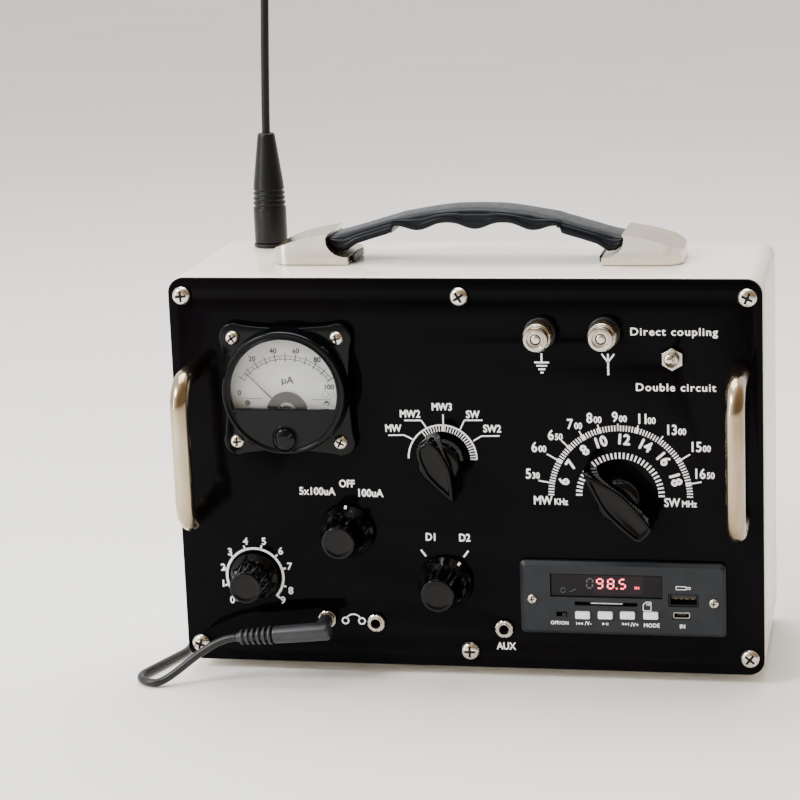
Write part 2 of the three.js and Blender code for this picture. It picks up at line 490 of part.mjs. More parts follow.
// ------------------------------------------------------ phones plug and cord
{
  const [jx, jz] = JACKS.left, hy = -18.2;
  const ex = [-102, hy, 17.3];                                  // where the lead leaves the plug
  const dir = new THREE.Vector3(ex[0] - jx, 0, ex[2] - jz).normalize();
  const ang = Math.atan2(dir.z, dir.x);
  const along = (len, r0, r1, s0, seg) => {
    const g = new THREE.CylinderGeometry(r1, r0, len, seg); g.rotateZ(-Math.PI / 2); g.translate(s0 + len / 2, 0, 0);
    g.rotateY(-ang); g.translate(jx, hy, jz); return solid(g);
  };
  const span = Math.hypot(ex[0] - jx, ex[2] - jz);
  const plug = join(
    cylY(jx, jz, 1.7, hy, 11, 8),
    cylY(jx, jz, 3.2, hy, -3.0, 10),
    along(25.8, 4.1, 3.9, -5.4, 12),
    along(span - 20.2 - GAP, 4.2, 3.1, 20.2, 10));
  add('phones_plug', plug, 'black_rubber');

  // the lead drops to the resting surface, turns back past the case's left side
  // and runs close along it to a coil behind the case
  const fz = FLOOR + CORD_R + 0.02;
  const P = [];
  const p0 = new THREE.Vector3(...ex);
  const fall = new THREE.CubicBezierCurve3(p0, p0.clone().addScaledVector(dir, 15),
    new THREE.Vector3(-130, -24, fz + 0.2), new THREE.Vector3(-138, -26, fz));
  for (let i = 0; i <= 12; i++) { const q = fall.getPoint(i / 12); P.push([q.x, q.y, Math.max(q.z, fz)]); }
  const turn = (cx, cy, r, a0, a1, n) => { for (let i = 1; i <= n; i++) { const a = (a0 + (a1 - a0) * i / n) * Math.PI / 180; P.push([cx + r * Math.cos(a), cy + r * Math.sin(a), fz]); } };
  turn(-138, -17, 9, 270, 160, 7);                                // round to the back
  const q = P[P.length - 1];                                      // heading 70 degrees
  const s = Math.sin(Math.PI * 70 / 180), c = Math.cos(Math.PI * 70 / 180);
  P.push([q[0] + 14 * c, q[1] + 14 * s, fz], [q[0] + 28 * c, q[1] + 28 * s, fz]);
  const m = P[P.length - 1];
  turn(m[0] - 20 * s, m[1] + 20 * c, 20, -20, 0, 3);              // straighten along the case
  const w = P[P.length - 1];
  for (const yy of [32, 45, 58, 71, 84]) P.push([w[0], yy, fz]);
  const inX = COIL.x - COIL.r - 3.5;                              // join the coil's outer turn
  for (let i = 1; i <= 6; i++) { const t = i / 6, e = t * t * (3 - 2 * t); P.push([w[0] + (inX - w[0]) * e, 84 + 38 * t, fz]); }
  const split = P.length - 3;
  add('phones_lead', sweep(P.slice(0, split + 1), CORD_R, 8), 'black_rubber');

  const ring = latheZ(COIL.x, COIL.y, [[COIL.r - COIL.w, FLOOR], [COIL.r + COIL.w, FLOOR], [COIL.r + COIL.w, FLOOR + COIL.h],
    [COIL.r - COIL.w, FLOOR + COIL.h], [COIL.r - COIL.w, FLOOR]], 28);
  const last = P.slice(split).map(v => v.slice());
  const d = new THREE.Vector3(...last[1]).sub(new THREE.Vector3(...last[0])).normalize();
  last[0] = last[0].map((v, i) => v + d.getComponent(i) * GAP);
  const lead = sweep(last, CORD_R, 8);
  // short free end, leaving the upper outer turn along -Y on the coil's far side
  const tx = COIL.x + COIL.r + 3.5, tz = FLOOR + 5.75;
  const tail = sweep([[tx, COIL.y, tz], [tx + 0.05, COIL.y - 4, tz], [tx + 0.5, COIL.y - 9, tz - 0.2], [tx + 2.0, COIL.y - 15, tz - 0.7],
    [tx + 4.4, COIL.y - 20, tz - 1.25], [tx + 8.0, COIL.y - 23.6, tz - 1.6], [tx + 12.6, COIL.y - 25, FLOOR + 4.02], [tx + 16.5, COIL.y - 25, FLOOR + 4.02]], CORD_R, 8);
  add('phones_lead_coil', join(ring, lead, tail), 'black_rubber');
  const fy = COIL.y - 25, fx = tx + 16.5 + GAP, fa = (x0, x1, r0, r1, seg) => {
    const g = new THREE.CylinderGeometry(r1, r0, x1 - x0, seg); g.rotateZ(-Math.PI / 2); g.translate((x0 + x1) / 2, fy, FLOOR + 4.02); return solid(g);
  };
  add('far_plug', join(fa(fx, fx + 10, 2.3, 2.9, 10), fa(fx + 9.9, fx + 28, 4.0, 4.0, 12), fa(fx + 27.9, fx + 42.5, 1.75, 1.75, 8)), 'black_rubber');
}

set.position.set(0, -(CASE_D - PULL_OUT - PULL_R) / 2, FOOT_H);
export default set;
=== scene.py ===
import math

import bmesh
import bpy
from mathutils import Euler, Matrix, Vector


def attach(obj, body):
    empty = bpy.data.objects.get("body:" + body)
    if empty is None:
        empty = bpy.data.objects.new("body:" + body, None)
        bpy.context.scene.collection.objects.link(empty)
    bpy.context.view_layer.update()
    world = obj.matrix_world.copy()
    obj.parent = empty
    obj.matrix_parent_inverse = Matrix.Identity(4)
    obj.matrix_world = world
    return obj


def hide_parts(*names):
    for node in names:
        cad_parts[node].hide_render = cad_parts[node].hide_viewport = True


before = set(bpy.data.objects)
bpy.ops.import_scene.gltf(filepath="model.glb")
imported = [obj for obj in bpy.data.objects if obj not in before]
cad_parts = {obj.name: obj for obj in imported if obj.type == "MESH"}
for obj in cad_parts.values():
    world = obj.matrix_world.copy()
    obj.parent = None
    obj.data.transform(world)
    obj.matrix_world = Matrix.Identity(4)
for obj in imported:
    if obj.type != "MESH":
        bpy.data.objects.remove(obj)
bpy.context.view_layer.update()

scene = bpy.context.scene

# Drawing is done in panel millimetres: X from the panel's middle, Y = 0 at the
# panel's front face and positive to the back, Z above the panel's lower edge.
OY, OZ = -25.6, 4.0
CASE_W, CASE_H, CASE_D, CASE_R = 260.0, 176.0, 90.0, 7.0
sin, cos, pi, rad = math.sin, math.cos, math.pi, math.radians


def W(x, y, z):
    return Vector((x / 1000.0, (y + OY) / 1000.0, (z + OZ) / 1000.0))


# ------------------------------------------------------------------ camera
cam_data = bpy.data.cameras.new("camera")
cam = bpy.data.objects.new("camera", cam_data)
scene.collection.objects.link(cam)
cam_data.sensor_width = 36.0
cam_data.lens = 111.27
cam_data.shift_x = -0.1
cam_data.shift_y = -0.07
cam_data.clip_start, cam_data.clip_end = 0.01, 50.0
cam.location = (0.1938, -1.0488, 0.3823)
cam.rotation_euler = (rad(77.464), rad(1.778), rad(9.867))
scene.camera = cam


# --------------------------------------------------------------- materials
def material(name, col, col2=None, rough=0.4, rough2=None, metal=0.0, spec=0.5, coat=0.0,
             coat_rough=0.03, ior=1.5, scale=60.0, detail=4.0, stretch=(1, 1, 1), bump=0.0,
             bump_scale=900.0, bump_dist=0.0002, trans=0.0, emit=None, emit_strength=0.0,
             fine=None, sheen=0.0, mix_lo=0.35, mix_hi=0.7, aniso=0.0, wear=None):
    """Principled material whose colour, roughness and height all vary procedurally."""
    m = bpy.data.materials.new(name)
    m.use_nodes = True
    nt = m.node_tree
    nt.nodes.clear()
    N, L = nt.nodes.new, nt.links.new
    out = N("ShaderNodeOutputMaterial")
    b = N("ShaderNodeBsdfPrincipled")
    L(b.outputs[0], out.inputs[0])
    b.inputs["Metallic"].default_value = metal
    b.inputs["IOR"].default_value = ior
    b.inputs["Specular IOR Level"].default_value = spec
    b.inputs["Coat Weight"].default_value = coat
    b.inputs["Coat Roughness"].default_value = coat_rough
    b.inputs["Transmission Weight"].default_value = trans
    b.inputs["Anisotropic"].default_value = aniso
    if sheen:
        b.inputs["Sheen Weight"].default_value = sheen
        b.inputs["Sheen Roughness"].default_value = 0.5
    if emit:
        b.inputs["Emission Color"].default_value = (*emit, 1)
        b.inputs["Emission Strength"].default_value = emit_strength
    tc = N("ShaderNodeTexCoord")
    mp = N("ShaderNodeMapping")
    mp.inputs["Scale"].default_value = stretch
    L(tc.outputs["Object"], mp.inputs["Vector"])
    n1 = N("ShaderNodeTexNoise")
    n1.inputs["Scale"].default_value = scale
    n1.inputs["Detail"].default_value = detail
    n1.inputs["Roughness"].default_value = 0.6
    L(mp.outputs[0], n1.inputs["Vector"])
    ramp = N("ShaderNodeValToRGB")
    ramp.color_ramp.elements[0].position = mix_lo
    ramp.color_ramp.elements[1].position = mix_hi
    c2 = col2 if col2 is not None else tuple(min(1, c * 1.12 + 0.004) for c in col)
    ramp.color_ramp.elements[0].color = (*col, 1)
    ramp.color_ramp.elements[1].color = (*c2, 1)
    L(n1.outputs["Fac"], ramp.inputs["Fac"])
    colour = ramp.outputs["Color"]
    n2 = N("ShaderNodeTexNoise")
    n2.inputs["Scale"].default_value = scale * 5.3
    n2.inputs["Detail"].default_value = 3.0
    L(mp.outputs[0], n2.inputs["Vector"])
    if fine is not None:
        mx = N("ShaderNodeMix")
        mx.data_type = "RGBA"
        mx.blend_type = "MULTIPLY"
        mx.inputs["Factor"].default_value = 1.0
        r3 = N("ShaderNodeMapRange")
        r3.inputs["From Min"].default_value = 0.3
        r3.inputs["From Max"].default_value = 0.7
        r3.inputs["To Min"].default_value = 1.0 - fine
        r3.inputs["To Max"].default_value = 1.0
        L(n2.outputs["Fac"], r3.inputs["Value"])
        L(colour, mx.inputs["A"])
        L(r3.outputs[0], mx.inputs["B"])
        colour = mx.outputs["Result"]
    L(colour, b.inputs["Base Color"])
    r2 = N("ShaderNodeMapRange")
    r2.inputs["From Min"].default_value = 0.3
    r2.inputs["From Max"].default_value = 0.7
    r2.inputs["To Min"].default_value = rough
    r2.inputs["To Max"].default_value = rough2 if rough2 is not None else min(1.0, rough * 1.35 + 0.01)
    L(n2.outputs["Fac"], r2.inputs["Value"])
    L(r2.outputs[0], b.inputs["Roughness"])
    if bump:
        n3 = N("ShaderNodeTexNoise")
        n3.inputs["Scale"].default_value = bump_scale
        n3.inputs["Detail"].default_value = 3.0
        L(mp.outputs[0], n3.inputs["Vector"])
        bp = N("ShaderNodeBump")
        bp.inputs["Strength"].default_value = bump
        bp.inputs["Distance"].default_value = bump_dist
        L(n3.outputs["Fac"], bp.inputs["Height"])
        L(bp.outputs[0], b.inputs["Normal"])
    return m


def srgb(r, g, b):
    def f(c):
        c /= 255.0
        return c / 12.92 if c <= 0.04045 else ((c + 0.055) / 1.055) ** 2.4
    return (f(r), f(g), f(b))


M = {}
M["cream"] = material("cream_enamel", srgb(226, 219, 203), srgb(238, 232, 219), rough=0.26, rough2=0.34, coat=0.25,
                      coat_rough=0.12, scale=14, bump=0.10, bump_scale=1400, bump_dist=0.00012, fine=0.02)
M["panel"] = material("panel_black_gloss", srgb(4, 4, 6), srgb(8, 6, 9), rough=0.05, rough2=0.08, spec=0.035,
                      scale=9, bump=0.02, bump_scale=160, bump_dist=0.0001)
M["bakelite"] = material("bakelite_black", srgb(3, 3, 4), srgb(7, 7, 8), rough=0.08, rough2=0.13, spec=0.17,
                         scale=120, bump=0.05, bump_scale=1500, bump_dist=0.00008)
M["gloss"] = material("meter_moulding_black", srgb(3, 5, 7), srgb(7, 9, 12), rough=0.09, rough2=0.15, spec=0.14,
                      scale=90, bump=0.05, bump_scale=1200, bump_dist=0.0001)
M["satin"] = material("black_satin_plastic", srgb(8, 8, 9), srgb(14, 14, 15), rough=0.34, rough2=0.46, spec=0.3, scale=160,
                      bump=0.12, bump_scale=2600, bump_dist=0.00008)
M["rubber"] = material("black_rubber", srgb(6, 6, 8), srgb(12, 12, 14), rough=0.3, rough2=0.42, spec=0.22, scale=180,
                       bump=0.15, bump_scale=2400, bump_dist=0.0001, sheen=0.05)
M["cord"] = material("cord_pvc_black", srgb(13, 14, 16), srgb(22, 23, 25), rough=0.34, rough2=0.44, spec=0.35, scale=220,
                     bump=0.12, bump_scale=2200, bump_dist=0.0001)
M["plugmat"] = material("plug_moulding_grey_black", srgb(30, 33, 37), srgb(44, 47, 52), rough=0.32, rough2=0.44, spec=0.4, scale=150,
                        bump=0.15, bump_scale=2600, bump_dist=0.0001)
M["foot"] = material("foot_rubber", srgb(22, 22, 23), srgb(34, 34, 35), rough=0.6, rough2=0.75, scale=150, bump=0.2,
                     bump_scale=1800)
M["grip"] = material("grip_rubber_slate", srgb(9, 13, 19), srgb(17, 22, 29), rough=0.32, rough2=0.44, spec=0.13, scale=70,
                     bump=0.25, bump_scale=2300, bump_dist=0.00012, fine=0.1)
M["chrome"] = material("chrome_plate", srgb(226, 222, 214), srgb(240, 237, 230), rough=0.07, rough2=0.13, metal=1.0,
                       scale=40, fine=0.03)
M["shoe"] = material("satin_nickel_shoe", srgb(214, 209, 199), srgb(230, 226, 217), rough=0.17, rough2=0.26, metal=1.0,
                     scale=30, bump=0.05, bump_scale=700, bump_dist=0.0001, fine=0.05)
# shoe_top: tan copy of the shoe nickel for upward faces, a painted reflection of brown surroundings
M["shoe_top"] = material("nickel_shoe_top_painted_brown_reflection", srgb(166, 148, 120), srgb(186, 168, 140), rough=0.2, rough2=0.3, metal=1.0,
                          scale=60, fine=0.03)
# the tan-brown to pale mix of the pull handles is a painted reflection of brown surroundings on the nickel
M["pull"] = material("pull_handle_tan_painted_reflection", srgb(142, 122, 94), srgb(196, 182, 158), rough=0.15, rough2=0.24, metal=1.0,
                     scale=60, stretch=(1, 1, 0.25), bump=0.04, bump_scale=900, bump_dist=0.00008, fine=0.04)
M["nickel"] = material("nickel_plate", srgb(176, 169, 156), srgb(204, 198, 186), rough=0.14, rough2=0.24, metal=1.0,
                       scale=150, fine=0.08)
M["brass"] = material("brass_washer", srgb(186, 148, 84), srgb(206, 170, 104), rough=0.22, rough2=0.34, metal=1.0,
                      scale=150, fine=0.1)
M["screw"] = material("screw_zinc", srgb(206, 199, 188), srgb(230, 225, 215), rough=0.16, rough2=0.28, metal=1.0,
                      scale=300, fine=0.12, bump=0.06, bump_scale=2600, bump_dist=0.00006)
# dark material for the meter needle and dial screws, and for the inserts at the bottom of screw recesses, where it is
# painted shade
M["recess"] = material("black_needle_and_painted_recess_shade", srgb(20, 18, 17), srgb(32, 29, 27), rough=0.6, spec=0.2, scale=300)
M["steel"] = material("zinc_steel", srgb(150, 148, 142), srgb(176, 174, 166), rough=0.3, rough2=0.42, metal=1.0,
                      scale=120, fine=0.08)
M["alu"] = material("aluminium_sheet", srgb(186, 187, 188), srgb(203, 204, 205), rough=0.28, rough2=0.36, metal=1.0,
                    scale=80, stretch=(0.2, 1, 1), fine=0.08)
M["glass"] = material("meter_glass", (0.97, 0.985, 0.98), (1, 1, 1), rough=0.0, rough2=0.01, trans=1.0, ior=1.45, scale=20)
M["dial"] = material("dial_card_white", srgb(235, 238, 236), srgb(243, 245, 243), rough=0.5, rough2=0.6, scale=120,
                     fine=0.02)
M["ink"] = material("dial_ink", srgb(24, 30, 32), srgb(34, 40, 42), rough=0.6, scale=300)
# the white print carries a faint emission: painted glow that lifts it above the lamps' light
M["silk"] = material("white_print_painted_glow", srgb(236, 236, 238), srgb(246, 246, 247), rough=0.42, rough2=0.5, scale=400,
                     emit=(1, 1, 1), emit_strength=0.12)
M["silk_soft"] = material("marking_white_soft", srgb(205, 207, 210), srgb(222, 223, 225), rough=0.5, scale=400)
M["module"] = material("module_grey_plastic", srgb(20, 24, 29), srgb(27, 31, 36), rough=0.38, rough2=0.46, spec=0.26, scale=120,
                       bump=0.2, bump_scale=2400, bump_dist=0.00008, fine=0.04)
M["display"] = material("display_filter", srgb(9, 7, 12), srgb(15, 11, 17), rough=0.08, rough2=0.12, spec=0.15, scale=60)
M["led_on"] = material("led_red", (1.0, 0.10, 0.12), (1.0, 0.16, 0.16), rough=0.3, scale=200, emit=(1.0, 0.03, 0.10),
                       emit_strength=2.6)
M["led_hot"] = material("led_red_hot", (1.0, 0.5, 0.5), (1.0, 0.6, 0.6), rough=0.3, scale=200, emit=(1.0, 0.30, 0.42),
                        emit_strength=2.6)
M["led_dim"] = material("led_unlit", srgb(64, 66, 74), srgb(80, 82, 90), rough=0.4, scale=200)
M["led_glow"] = material("led_glow_panel", srgb(12, 6, 12), srgb(17, 8, 15), rough=0.2, spec=0.2, scale=90, emit=(0.6, 0.03, 0.12),
                         emit_strength=0.012)
M["button"] = material("button_white", srgb(226, 230, 232), srgb(238, 241, 242), rough=0.34, rough2=0.42, scale=200)
M["board"] = material("board_green", srgb(26, 66, 46), srgb(36, 84, 58), rough=0.4, scale=90, fine=0.2)
M["winding"] = material("winding_enamel", srgb(128, 66, 26), srgb(160, 88, 38), rough=0.3, metal=0.3, scale=40,
                        stretch=(30, 1, 1), bump=0.5, bump_scale=120, fine=0.2)
M["socket"] = material("socket_dark", srgb(12, 12, 13), srgb(20, 20, 22), rough=0.4, scale=200)
M["card"] = material("card_edge", srgb(192, 198, 200), srgb(222, 226, 228), rough=0.3, metal=0.5, scale=200, fine=0.2)
M["cone"] = material("speaker_cone", srgb(30, 30, 31), srgb(46, 46, 46), rough=0.8, scale=90, bump=0.3, bump_scale=600)


# ---------------------------------------------------------------- mesh code
class G:
    """Vertices and faces in panel millimetres, gathered before they become one piece."""

    def __init__(self):
        self.v, self.f, self.m = [], [], []

    def add(self, vf, mat=0):
        v, f = vf
        n = len(self.v)
        self.v += [tuple(p) for p in v]
        self.f += [[i + n for i in q] for q in f]
        self.m += [mat] * len(f)
        return self


def piece(name, g, body, mats, sharp=32, replaces=(), bevel=0.0, bevel_seg=2, bevel_angle=40, subsurf=0,
          weld=2e-6):
    if isinstance(g, tuple):
        g = G().add(g)
    mats = mats if isinstance(mats, (list, tuple)) else [mats]
    me = bpy.data.meshes.new(name)
    me.from_pydata([W(*p) for p in g.v], [], g.f)
    for m in mats:
        me.materials.append(M[m] if isinstance(m, str) else m)
    for p, i in zip(me.polygons, g.m):
        p.material_index = i
    bm = bmesh.new()
    bm.from_mesh(me)
    bmesh.ops.remove_doubles(bm, verts=bm.verts, dist=weld)
    bmesh.ops.dissolve_degenerate(bm, edges=bm.edges, dist=1e-7)
    bmesh.ops.recalc_face_normals(bm, faces=bm.faces)
    bm.to_mesh(me)
    bm.free()
    me.shade_smooth()
    me.set_sharp_from_angle(angle=rad(sharp))
    me.update()
    o = bpy.data.objects.new(name, me)
    scene.collection.objects.link(o)
    if bevel:
        b = o.modifiers.new("edge", "BEVEL")
        b.width = bevel / 1000.0
        b.segments = bevel_seg
        b.limit_method = "ANGLE"
        b.angle_limit = rad(bevel_angle)
        b.harden_normals = True
        b.use_clamp_overlap = True
    if subsurf:
        s = o.modifiers.new("sub", "SUBSURF")
        s.levels = s.render_levels = subsurf
    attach(o, body)
    if replaces:
        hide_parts(*replaces)
    return o


def lathe(prof, seg=48, at=(0, 0, 0), axis="Y", rfun=None):
    """Revolves (radius, along) about an axis through at. Y runs to the back, Z up, X right."""
    v, f, rings = [], [], []

    def put(a, b, c):
        if axis == "Y":
            return (at[0] + a, at[1] + c, at[2] + b)
        if axis == "Z":
            return (at[0] + a, at[1] + b, at[2] + c)
        return (at[0] + c, at[1] + a, at[2] + b)

    for r, a in prof:
        if r < 1e-6:
            rings.append([len(v)])
            v.append(put(0, 0, a))
            continue
        ring = []
        for i in range(seg):
            t = 2 * pi * i / seg
            rr = rfun(r, a, t) if rfun else r
            ring.append(len(v))
            v.append(put(rr * cos(t), rr * sin(t), a))
        rings.append(ring)
    for A, B in zip(rings, rings[1:]):
        if len(A) == 1 and len(B) == 1:
            continue
        for i in range(seg):
            j = (i + 1) % seg
            if len(A) == 1:
                f.append([A[0], B[i], B[j]])
            elif len(B) == 1:
                f.append([A[i], A[j], B[0]])
            else:
                f.append([A[i], A[j], B[j], B[i]])
    return v, f


def soften(pts, n=4):
    """Rounds the corners of a profile given as (u, v, radius)."""
    out = []
    for i, p in enumerate(pts):
        r = p[2] if len(p) > 2 else 0
        if r <= 0 or i in (0, len(pts) - 1):
            out.append((p[0], p[1]))
            continue
        a, b = Vector(pts[i - 1][:2]), Vector(pts[i + 1][:2])
        c = Vector(p[:2])
        da, db = (a - c), (b - c)
        r0 = min(r, da.length * 0.48, db.length * 0.48)
        s, e = c + da.normalized() * r0, c + db.normalized() * r0
        for k in range(n + 1):
            t = k / n
            q = s * (1 - t) ** 2 + c * 2 * t * (1 - t) + e * t * t
            out.append((q.x, q.y))
    return out


def arc(cx, cz, r, a0, a1, n):
    return [(cx + r * cos(rad(a0 + (a1 - a0) * i / n)), cz + r * sin(rad(a0 + (a1 - a0) * i / n))) for i in range(n + 1)]


def rounded(x0, x1, z0, z1, r, n=6):
    """Rounded rectangle outline, anticlockwise seen from the front."""
    out = []
    for cx, cz, a in ((x1 - r, z0 + r, -90), (x1 - r, z1 - r, 0), (x0 + r, z1 - r, 90), (x0 + r, z0 + r, 180)):
        out += arc(cx, cz, r, a, a + 90, n)
    return out


def chamfered(x0, x1, z0, z1, c):
    return [(x0 + c, z0), (x1 - c, z0), (x1, z0 + c), (x1, z1 - c), (x1 - c, z1), (x0 + c, z1), (x0, z1 - c), (x0, z0 + c)]


def grab(cu, place):
    """Evaluates a curve or text drawn in millimetres and gives its vertices and faces."""
    o = bpy.data.objects.new("tmp", cu)
    scene.collection.objects.link(o)
    bpy.context.view_layer.update()
    dg = bpy.context.evaluated_depsgraph_get()
    me = bpy.data.meshes.new_from_object(o.evaluated_get(dg))
    v = [place(p.co) for p in me.vertices]
    f = [list(p.vertices) for p in me.polygons]
    bpy.data.objects.remove(o)
    bpy.data.meshes.remove(me)
    return v, f


def plate(loops, y0, y1, bev=0.0, res=2):
    """Flat plate in the XZ plane with holes, from y0 (front) to y1 (back), edges rounded by bev."""
    cu = bpy.data.curves.new("tmp", "CURVE")
    cu.dimensions, cu.fill_mode = "2D", "BOTH"
    for loop in loops:
        sp = cu.splines.new("POLY")
        sp.points.add(len(loop) - 1)
        for p, (x, z) in zip(sp.points, loop):
            p.co = (x, z, 0, 1)
        sp.use_cyclic_u = True
    cu.extrude = (y1 - y0) / 2 - bev
    cu.bevel_depth, cu.bevel_resolution, cu.offset = bev, res, -bev
    mid = (y0 + y1) / 2
    vf = grab(cu, lambda c: (c.x, mid - c.z, c.y))
    bpy.data.curves.remove(cu)
    return vf


def prism(outline, y0, y1, scale_front=None, centre=(0, 0)):
    """Extruded outline (no holes); the front outline may be scaled about a centre."""
    n = len(outline)
    fr = outline if scale_front is None else [(centre[0] + (x - centre[0]) * scale_front,
                                              centre[1] + (z - centre[1]) * scale_front) for x, z in outline]
    v = [(x, y0, z) for x, z in fr] + [(x, y1, z) for x, z in outline]
    f = [[i, (i + 1) % n, n + (i + 1) % n, n + i] for i in range(n)] + [list(range(n)), list(range(2 * n - 1, n - 1, -1))]
    return v, f


def block(x0, x1, y0, y1, z0, z1):
    return prism([(x0, z0), (x1, z0), (x1, z1), (x0, z1)], y0, y1)


def loft(rings, closed=False, caps=True):
    """Skins a list of equal rings of 3-D points."""
    v, f, n = [], [], len(rings[0])
    for r in rings:
        v += [tuple(p) for p in r]
    m = len(rings)
    for k in range(m if closed else m - 1):
        a, b = k * n, ((k + 1) % m) * n
        f += [[a + i, a + (i + 1) % n, b + (i + 1) % n, b + i] for i in range(n)]
    if not closed and caps:
        f += [list(range(n)), list(range((m - 1) * n, m * n))[::-1]]
    return v, f


def tube(path, r, seg=16, caps=True, closed=False):
    """Round tube along a 3-D path; r is a number or one radius per point."""
    P = [Vector(p) for p in path]
    rr = r if isinstance(r, (list, tuple)) else [r] * len(P)
    rings, up = [], None
    for i, p in enumerate(P):
        if closed:
            t = (P[(i + 1) % len(P)] - P[i - 1]).normalized()
        else:
            t = (P[min(i + 1, len(P) - 1)] - P[max(i - 1, 0)]).normalized()
        if up is None:
            up = Vector((0, 0, 1)) if abs(t.z) < 0.9 else Vector((1, 0, 0))
        side = t.cross(up).normalized()
        up = side.cross(t).normalized()
        rings.append([p + side * rr[i] * cos(2 * pi * k / seg) + up * rr[i] * sin(2 * pi * k / seg) for k in range(seg)])
    return loft(rings, closed, caps)


def turned(vf, cx, cz, deg):
    """Turns vertices about the Y axis through (cx, cz); positive is anticlockwise seen from the front."""
    a = rad(deg)
    return [(cx + (x - cx) * cos(a) - (z - cz) * sin(a), y, cz + (x - cx) * sin(a) + (z - cz) * cos(a)) for x, y, z in vf[0]], vf[1]


def slid(vf, dx=0, dy=0, dz=0):
    return [(x + dx, y + dy, z + dz) for x, y, z in vf[0]], vf[1]


def box_of(vf):
    xs, ys, zs = zip(*vf[0])
    return min(xs), max(xs), min(ys), max(ys), min(zs), max(zs)


def text(s, x, z, h, align="C", rot=0.0, y=-0.03, thick=0.05, weight=0.0, xs=1.0, spacing=1.0, baseline=None):
    """Raised lettering of digit height h, centred on (x, z) or from x when align is L."""
    cu = bpy.data.curves.new("tmp", "FONT")
    cu.body, cu.size = s, h / TEXT_UNIT
    cu.resolution_u = 3
    cu.extrude = thick
    cu.space_character = spacing
    vf = grab(cu, lambda c: (c.x * xs, y - c.z, c.y))
    bpy.data.curves.remove(cu)
    if weight:
        g_ = G()
        for k_, (dx, dz) in enumerate(((-weight, 0), (weight, 0), (0, -weight), (0, weight))):
            g_.add(slid(vf, dx, 0.0015 * k_, dz))
        vf = (g_.v, g_.f)
    x0, x1, _, _, z0, z1 = box_of(vf)
    dx = x - (x0 + x1) / 2 if align == "C" else (x - x0 if align == "L" else x - x1)
    dz = z - (z0 + z1) / 2 if baseline is None else baseline
    vf = slid(vf, dx, 0, dz)
    return turned(vf, x, z, rot) if rot else vf


def _unit():
    cu = bpy.data.curves.new("tmp", "FONT")
    cu.body, cu.size = "0", 1.0
    v, _ = grab(cu, lambda c: (c.x, c.z, c.y))
    bpy.data.curves.remove(cu)
    return max(p[2] for p in v) - min(p[2] for p in v)


TEXT_UNIT = _unit()


def stroke(p, q, w, y=-0.03, t=0.05):
    """Flat printed line from p to q, w wide."""
    p, q = Vector(p), Vector(q)
    d = (q - p).normalized()
    n = Vector((-d.y, d.x)) * w / 2
    return prism([tuple(p - n), tuple(q - n), tuple(q + n), tuple(p + n)], y - t, y + t)


def band(cx, cz, r0, r1, a0, a1, n, y=-0.03, t=0.05):
    """Printed arc between two radii."""
    full = abs(a1 - a0) >= 359.9
    v, f = [], []
    m = n if full else n + 1
    for i in range(m):
        a = rad(a0 + (a1 - a0) * i / n)
        for r, yy in ((r0, y - t), (r1, y - t), (r1, y + t), (r0, y + t)):
            v.append((cx + r * cos(a), yy, cz + r * sin(a)))
    for i in range(n):
        a, b = 4 * i, 4 * ((i + 1) % m)
        for k in range(4):
            f.append([a + k, b + k, b + (k + 1) % 4, a + (k + 1) % 4])
    if not full:
        f += [[0, 1, 2, 3], [4 * n + 3, 4 * n + 2, 4 * n + 1, 4 * n]]
    return v, f


# ------------------------------------------------------------ phones lead
PLUG = (-64.4, 21.0)
PY = -18.2
EX = Vector((-102.0, PY, 17.3))
DIR = (EX - Vector((PLUG[0], PY, PLUG[1]))).normalized()
SPAN = (EX - Vector((PLUG[0], PY, PLUG[1]))).length
CR = 1.75
FZ = -4.0 + CR + 0.02


def bez(p0, p1, p2, p3, t):
    s = 1 - t
    return p0 * s ** 3 + p1 * 3 * s * s * t + p2 * 3 * s * t * t + p3 * t ** 3


route = []
b0, b1, b2, b3 = EX, EX + DIR * 15, Vector((-130, -24, FZ + 0.2)), Vector((-138, -26, FZ))
for i in range(0, 13):
    q = bez(b0, b1, b2, b3, i / 12)
    route.append((q.x, q.y, max(q.z, FZ)))
for i in range(1, 8):
    a = rad(270 + (160 - 270) * i / 7)
    route.append((-138 + 9 * cos(a), -17 + 9 * sin(a), FZ))
q = route[-1]
s70, c70 = sin(rad(70)), cos(rad(70))
route += [(q[0] + 14 * c70, q[1] + 14 * s70, FZ), (q[0] + 28 * c70, q[1] + 28 * s70, FZ)]
m_ = route[-1]
for i in range(1, 4):
    a = rad(-20 + 20 * i / 3)
    route.append((m_[0] - 20 * s70 + 20 * cos(a), m_[1] + 20 * c70 + 20 * sin(a), FZ))
w_ = route[-1]
for yy in (32, 45, 58, 71, 84):
    route.append((w_[0], yy, FZ))
CX, CY, C_IN, PITCH = -92.0, 122.0, 16.95, 3.55
COIL_Z = FZ + 0.42                          # the strap's thickness lifts the turns a little
for i in range(1, 7):
    t = i / 6
    e = t * t * (3 - 2 * t)
    route.append((w_[0] + (CX - 24.0 - w_[0]) * e, 84 + 38 * t, FZ + (COIL_Z - FZ) * e))
UPPER = COIL_Z + 3.52
radii = [(24.05, 0), (20.5, 0), (16.95, 0), (16.95, 1), (20.5, 1), (24.05, 1)]
STEPS = 20
for k, (r, layer) in enumerate(radii):
    nxt = radii[min(k + 1, 5)]
    for i in range(1, STEPS + 1 if k < 5 else STEPS // 2 + 1):
        f = i / STEPS
        e = 0.0 if f < 0.8 else (f - 0.8) / 0.2
        e = e * e * (3 - 2 * e)
        rr = r + (nxt[0] - r) * e
        z0, z1 = (COIL_Z, UPPER)[layer], (COIL_Z, UPPER)[nxt[1]]
        a = rad(180 - 360 * f)
        route.append((CX + rr * cos(a), CY + rr * sin(a), z0 + (z1 - z0) * e))
TX = CX + 24.05
